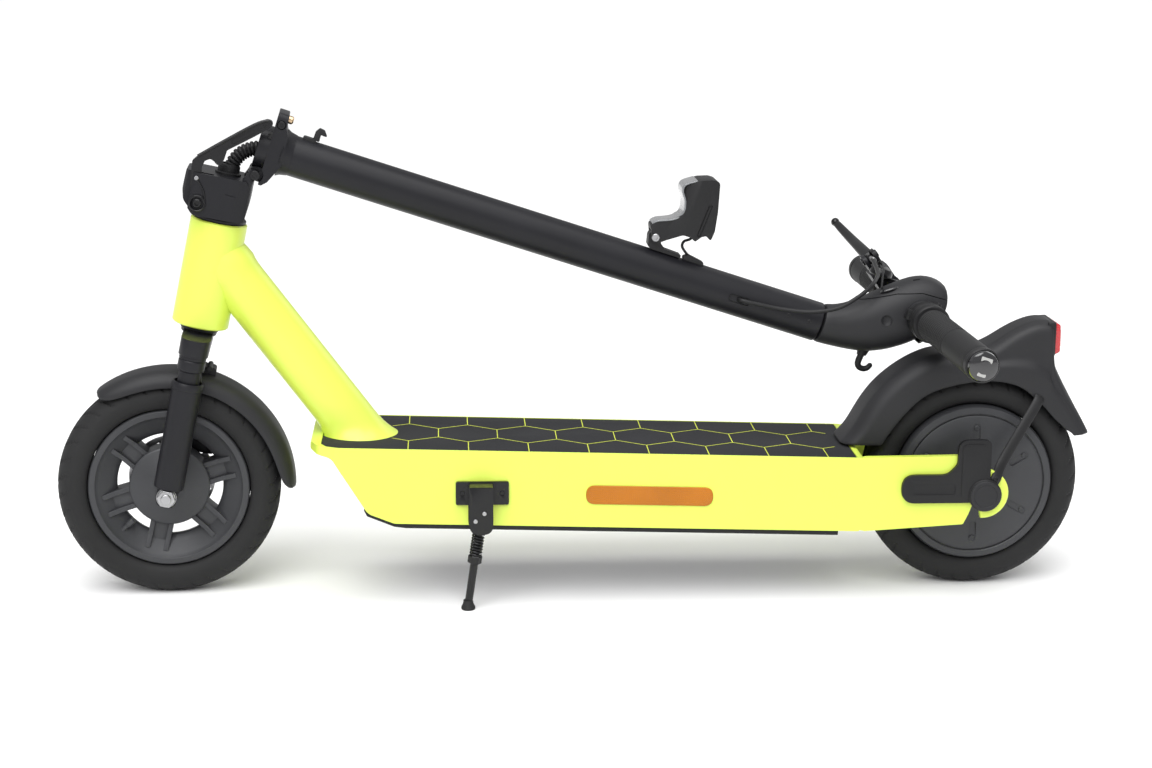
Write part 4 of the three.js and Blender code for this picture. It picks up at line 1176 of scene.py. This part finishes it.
def make_brake_perch():
    """The brake lever's perch, with its cable barrel and bolts."""
    ring = [(11.3, 100), (16, 100), (17, 101), (17, 125), (16, 126), (11.3, 126)]
    arm = prism(rectangle(12, 62, 102, 124, [3, 8, 8, 3]), -9, 9, "z")
    gap_cut = prism(rectangle(43, 70, 96, 130, 1), -4.5, 4.5, "z")
    bore = rod("y", 11.3, 90, 140)
    barrel = [rod("y", 4.6, 93, 103, (30, 0), 32), rod("y", 3.6, 86, 95, (30, 0), 32)]
    bolts = [bolt((55, 113, sign * 9), (0, 0, sign), 5, 2) for sign in (1, -1)]
    bolts += [bolt((-16, y, 0), (-1, 0, 0), 3.4, 2.4) for y in (108, 118)]
    housing = prism(rectangle(8, 40, 97, 129, [4, 7, 7, 4]), -12, 12, "z")
    piece("brake_perch_body", [lathe(ring, "y", 72, closed=True)], BRAKE, BLACK_PAINT, "stem",
          ["brake_perch"], bevel=1.1, joined=[arm, housing], cut=[bore, gap_cut],
          detail=[*barrel, *bolts])


def make_brake_blade():
    """The brake lever's blade, tapered towards its ball end."""
    route = [(50, 106, 0), (55, 113, 0), (59, 128, 0), (64, 152, 0), (69.5, 180, 0), (77, 210, 0),
             (82.5, 229, 0), (84, 237, 0)]
    line = smooth_line(route, 8)
    share = [i / (len(line) - 1) for i in range(len(line))]
    heights = [4.3 if s < 0.18 else 8.0 - 4.0 * (s - 0.18) / 0.82 for s in share]
    ball = lathe([(0, -5.4), (2.8, -4.7), (4.8, -2.6), (5.4, 0), (4.8, 2.6), (2.8, 4.7), (0, 5.4)], "y",
                 32, (84, 0))
    ball = moved(ball, Matrix.Translation((0, 235.5, 0)))
    piece("brake_lever_blade", [pipe(line, heights, 24, (1, 0, 0), 0.55)], BRAKE, BLACK_GLOSS,
          "brake_lever", ["brake_lever"], detail=[ball], angle=50)


def make_bell():
    """The bell: a cup with its cap, on an arm clamped to the bar."""
    centre = (748, 82)
    cup = lathe([(0, 108), (7, 107.4), (11.5, 105), (13.8, 101), (14, 96.5), (13, 95), (0, 95)], "z", 72,
                centre)
    cap = lathe([(0, 110), (2.6, 109.6), (3, 107), (0, 106.5)], "z", 32, centre)
    clamp = lathe([(11.3, 76), (14.4, 76), (15, 77), (15, 87), (14.4, 88), (11.3, 88)], "y", 72, BAR_AXIS,
                  closed=True)
    arm = prism(rounded([(744, 86), (781, 86), (781, 96), (744, 96)], 3), 77, 87)
    bore = rod("y", 11.3, 60, 98, BAR_AXIS)
    piece("bell_body", [cup], STEM, BLACK_GLOSS, "stem", ["bell"], bevel=0.5, joined=[arm],
          cut=[bore], detail=[cap, clamp])


def make_cables():
    """The brake cable repeats its CAD route; the thin cable of the brake's switch runs into the head."""
    start = [(568, -17, 30), (569.5, -24, 30.2), (575, -28, 31), (592, -29, 32.5), (618, -30.5, 35.5)]
    middle = [(650, -35, 43), (678, -38, 57), (697, -36, 76), (710, -26, 91), (719, -6, 99)]
    end = [(726, 18, 103), (730, 44, 106), (733, 72, 109), (735, 90, 110), (736, 101.6, 110)]
    add_cable("brake_cable_housing", [*start, *middle, *end], 4.8, 8, ["brake_cable"])
    switch_route = [(746, 100, 104), (742, 82, 112), (737, 50, 113), (731, 20, 110), (729, 4, 101)]
    add_cable("brake_switch_cable", [*switch_route, (730, -3, 91)], 2.6, 8)
    ferrule = rod("y", 3.2, 88, 101.5, (736, 110), 32)
    piece("cable_ferrule", [ferrule], STEM, STEEL, "stem")


def add_cable(name, route, diameter, per, nodes=()):
    """A cable along a smooth route."""
    line = smooth_line(route, per)
    made = piece(name, [pipe(line, diameter / 2, 16)], STEM, PLASTIC, "stem", nodes,
                 angle=60)


# ---------------------------------------------------------------- lamp

def make_lamp_bracket():
    """The lamp's foot on the stem."""
    foot = rounded([(447, 66), (449, 57), (453, 53.2), (490, 53.2), (490, 57), (470, 57.8), (463, 63),
                    (461, 70), (454, 76)], [4, 3, 2, 1.5, 1.5, 5, 4, 6, 6], 5)
    lug = rod("y", 7.5, -8, 8, LAMP_AXIS, 48)
    bore = rod("y", 3.1, -10, 10, LAMP_AXIS, 32)
    piece("lamp_bracket_arm", [prism(foot, -8, 8)], STEM, PLASTIC, "stem",
          ["lamp_bracket"], bevel=1, joined=[lug], cut=[bore])


def make_lamp_housing():
    """The lamp's housing with a groove and a rib on each side."""
    arm = [(448, 71), (444, 80), (451, 88.5), (467, 95.5), (476, 104.5), (474, 118), (467.5, 128.5),
           (467.5, 138)]
    body = [(482, 147), (494, 151.4), (503, 151.8), (512, 118), (516, 96), (515, 84), (508, 88),
            (503, 85), (498, 78), (491, 81)]
    under = [(482, 81), (468, 70), (458, 62), (450, 62)]
    corner_radii = [4, 4, 6, 10, 10, 10, 6, 5, 6, 5, 5, 20, 10, 2, 3, 3, 2, 6, 6, 8, 5, 5]
    outline = rounded([*arm, *body, *under], corner_radii, 4)
    plan = rounded([(440, -12), (466, -14), (482, -21), (522, -19), (522, 19), (482, 21), (466, 14),
                    (440, 12)], 8)
    ears = rod("y", 10.2, -8.5, 8.5, LAMP_AXIS, 48)
    foot_space = prism(rectangle(440, 466, 50, 72, 2), -8.6, 8.6)
    groove = rounded([(497, 84), (502, 84), (504, 124), (499, 124)], 2.4)
    grooves = [prism(groove, *span(sign, 18.2, 26)) for sign in (-1, 1)]
    rib = rounded([(498.8, 86), (500.4, 86), (502.4, 121), (500.8, 121)], 0.7)
    ribs = [prism(rib, *span(sign, 17, 19.6)) for sign in (-1, 1)]
    piece("lamp_housing", [prism(outline, -21, 21)], STEM, PLASTIC, "lamp", ["lamp"],
          bevel=1.8, common=[prism(plan, 50, 160, "z")], cut=[ears, foot_space, *grooves], detail=ribs)


def make_lamp_strip():
    """The clear strip down the front of the housing, and the bolt that the lamp tilts about."""
    strip = [(445.2, 82), (451, 87.2), (467, 94.4), (475, 104), (472.8, 118), (466.2, 128.5),
             (466.8, 136.4), (478, 144.6)]
    line = smooth_line([(x, 0, z) for x, z in strip], 8)
    loops = []
    for i, point in enumerate(line):
        heading = (line[min(i + 1, len(line) - 1)] - line[max(i - 1, 0)]).normalized()
        out = Vector((-heading.z, 0, heading.x))
        half = 12.2 + 6.3 * min(1, i / (0.5 * len(line)))
        loops.append(oval(point + out * 0.2, (0, half, 0), out * 1.5, 4, 32))
    piece("lamp_clear_strip", [loft(loops)], STEM, CLEAR, "lamp", angle=50)
    screws = [bolt((LAMP_PIVOT.x, sign * 13.4, LAMP_PIVOT.z), (0, sign, 0), 4.6, 2.2) for sign in (-1, 1)]
    piece("lamp_pivot_bolt", [rod("y", 2.8, -13, 13, LAMP_AXIS, 32), *screws], STEM, STEEL, "lamp")


def make_lamp_wire():
    """The lamp's wire, and the gland where it enters the stem."""
    gland_outline = rounded([(494, 52.4), (494, 56), (499, 59.6), (505, 58.6), (518, 56.4), (519.5, 53),
                             (519.5, 52)], 1.8)
    piece("wire_gland", [prism(gland_outline, -6, 6)], STEM, GRIP, "stem", bevel=1)
    wire = [(497, 0, 82), (495.4, 0, 77), (489.6, 0, 72.4), (489, 0, 66.6), (494, 0, 61.6), (500, 0, 58),
            (503, 0, 56)]
    line = smooth_line(wire, 8)
    made = piece("lamp_wire", [pipe(line, 1.6, 14)], STEM, GRIP, None, angle=60)
    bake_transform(made)


# ---------------------------------------------------------------- kickstand

def make_kickstand_plate():
    """The kickstand's folded plate on the deck's side, with its screws, pin and rivets."""
    back_plate = prism(rectangle(329, 389, 121, 148, 2.5), -84, -80.3)
    tab = prism(rounded([(343, 92), (371, 92), (371, 145), (343, 145)], [11, 11, 2, 2]), -86.6, -80.6)
    boss = rod("y", 8, -86.6, -81, STAND_PIVOT, 40)
    pin = rod("y", 3, -98, -84, STAND_PIVOT, 32)
    slots = [prism(rectangle(x - 3, x + 3, 131.5, 137.5, 2.8), -90, -82.8) for x in (336.5, 381.5)]
    front_outline = rounded([(344, 91), (371, 91), (371, 146), (344, 146)], [12, 12, 2, 2])
    front_tab = prism(front_outline, -102.4, -100.2)
    bridge = prism(rectangle(344, 371, 142.5, 146.5, 1.5, 3), -102.3, -82)
    screws = [bolt((x, -83.2, 134.5), (0, -1, 0), 2.5, 0.8) for x in (336.5, 381.5)]
    piece("kickstand_plate", [back_plate], CHASSIS, BLACK_GLOSS, "frame",
          ["kickstand_bracket"], bevel=0.8, joined=[tab, boss, bridge, front_tab], cut=slots,
          detail=[*screws, pin])
    rivets = [bolt((x, -102.3, z), (0, -1, 0), 2.4, 1.2, False) for x, z in ((361, 116), (351, 107))]
    piece("kickstand_rivets", rivets, CHASSIS, STEEL, "frame")


def make_kickstand_leg():
    """The kickstand's leg with its collar, spring and rubber foot."""
    barrel = rod("y", 8, -4, 4, (0, 0), 40)
    neck = lathe([(0, -2), (8.8, -4), (8.8, -9), (6.6, -11), (0, -11)], "z", 48)
    shaft = rod("z", 4.5, -90, -4, (0, 0), 40)
    collar = rod("z", 8, -46, -36, (0, 0), 6, edge=1.2)
    piece("kickstand_shaft", [barrel], STAND, BLACK_GLOSS, "kickstand", ["kickstand_leg"],
          bevel=0.4, joined=[neck], cut=[rod("y", 3.3, -10, 10, (0, 0), 32)], detail=[shaft, collar])
    coil = []
    turns, steps, coil_radius = 7, 24, 6.2
    for k in range(turns * steps + 1):
        angle = 2 * math.pi * k / steps
        coil.append((coil_radius * math.cos(angle), coil_radius * math.sin(angle),
                     -11.5 - 24 * k / (turns * steps)))
    piece("kickstand_coil", [pipe(coil, 1.15, 10, (0, 0, 1))], STAND, BLACK_GLOSS, "kickstand",
          ["kickstand_spring"])
    leg_drop = 95
    foot_x = STAND_PIVOT[0] - leg_drop * math.tan(STAND_LEAN)
    foot = lathe([(0, 0), (7.2, 0), (8, 1.2), (7.8, 3.4), (6, 7), (5.4, 11), (0, 11.4)], "z", 48,
                 (foot_x, -91))
    piece("kickstand_rubber_foot", [foot], CHASSIS, GRIP, "kickstand", ["kickstand_foot"])


# ---------------------------------------------------------------- scene

def make_camera():
    """A three-quarter view from the front left: yawed a little, looking down, almost level."""
    yaw, pitch, roll = math.radians(3.491), math.radians(13.124), math.radians(0.395)
    data = bpy.data.cameras.new("camera")
    data.lens, data.sensor_width = 68.61, 36
    data.clip_end = 100
    camera = bpy.data.objects.new("camera", data)
    bpy.context.scene.collection.objects.link(camera)
    camera.rotation_mode = "QUATERNION"
    turn = Matrix.Rotation(-yaw, 4, "Z") @ Matrix.Rotation(math.pi / 2 - pitch, 4, "X")
    camera.rotation_quaternion = (turn @ Matrix.Rotation(roll, 4, "Z")).to_quaternion()
    camera.location = (-0.6151, -2.4711, 0.8182)
    bpy.context.scene.camera = camera


def make_light(name, location, target, size, power):
    """A rectangular soft light at a place, facing a target."""
    data = bpy.data.lights.new(name, "AREA")
    data.shape = "RECTANGLE"
    data.size, data.size_y = size
    data.energy = power
    light = bpy.data.objects.new(name, data)
    bpy.context.scene.collection.objects.link(light)
    light.location = location
    light.rotation_mode = "QUATERNION"
    light.rotation_quaternion = (Vector(target) - Vector(location)).to_track_quat("-Z", "Y")


def make_studio():
    """A pale floor, an even background and soft lights."""
    floor_shape = bmesh.new()
    reach = 25
    outline = ((-reach, -reach), (reach, -reach), (reach, reach), (-reach, reach))
    floor_shape.faces.new([floor_shape.verts.new((x, y, 0)) for x, y in outline])
    mesh = bpy.data.meshes.new("floor")
    floor_shape.to_mesh(mesh)
    floor_shape.free()
    floor = bpy.data.objects.new("floor", mesh)
    bpy.context.scene.collection.objects.link(floor)
    pale = shader("pale_floor", (0.94, 0.94, 0.94), 0.9, grain=40, relief=0.01, mottle=0.005)
    floor.data.materials.append(pale)

    world = bpy.data.worlds.new("studio")
    world.use_nodes = True
    world.node_tree.nodes["Background"].inputs["Color"].default_value = (1, 1, 1, 1)
    world.node_tree.nodes["Background"].inputs["Strength"].default_value = 0.5
    bpy.context.scene.world = world
    middle = (-0.45, 0, 0.25)
    make_light("top_softbox", (-0.5, -0.3, 2.6), middle, (2.6, 1.2), 30)
    make_light("front_softbox", (-1.9, -2.4, 1.7), middle, (1.4, 1.4), 8)
    make_light("rear_softbox", (1.5, 1.8, 1.6), middle, (1.4, 1.4), 8)
    sky_light = bpy.data.lights.new("wide_softbox", "SUN")
    sky_light.energy = 2.5
    sky_light.angle = math.radians(50)
    sky = bpy.data.objects.new("wide_softbox", sky_light)
    bpy.context.scene.collection.objects.link(sky)
    sky.rotation_mode = "QUATERNION"
    sky.rotation_quaternion = Vector((0.2, 0.9, -1.1)).to_track_quat("-Z", "Y")
    bpy.context.scene.view_settings.view_transform = "Standard"


make_camera()
make_cables()
make_deck()
make_deck_mat()
make_mat_lines()
make_bottom_cover()
make_battery_and_controller()
make_head_tube()
make_down_tube()
make_headset()
make_rear_axle()
make_mudguard()
make_tail_light()
for side_name, side_sign in (("left", -1), ("right", 1)):
    make_reflector(side_name, side_sign)
    make_axle_cover(side_name, side_sign)
    make_stay(side_name, side_sign)
make_wheels()
make_fork()
make_fork_legs()
make_front_axle()
make_front_fender()
make_fender_brace()
make_caliper()
make_hinge_block()
make_hinge_pin_and_nut()
make_lever_spring()
make_fold_lever()
make_conduit()
make_stem_flange()
make_stem()
make_head()
make_display()
make_bag_hook()
make_handlebar()
make_throttle()
make_control_clamp()
make_brake_perch()
make_brake_blade()
make_bell()
make_lamp_bracket()
make_lamp_housing()
make_lamp_strip()
make_lamp_wire()
make_kickstand_plate()
make_kickstand_leg()
make_studio()
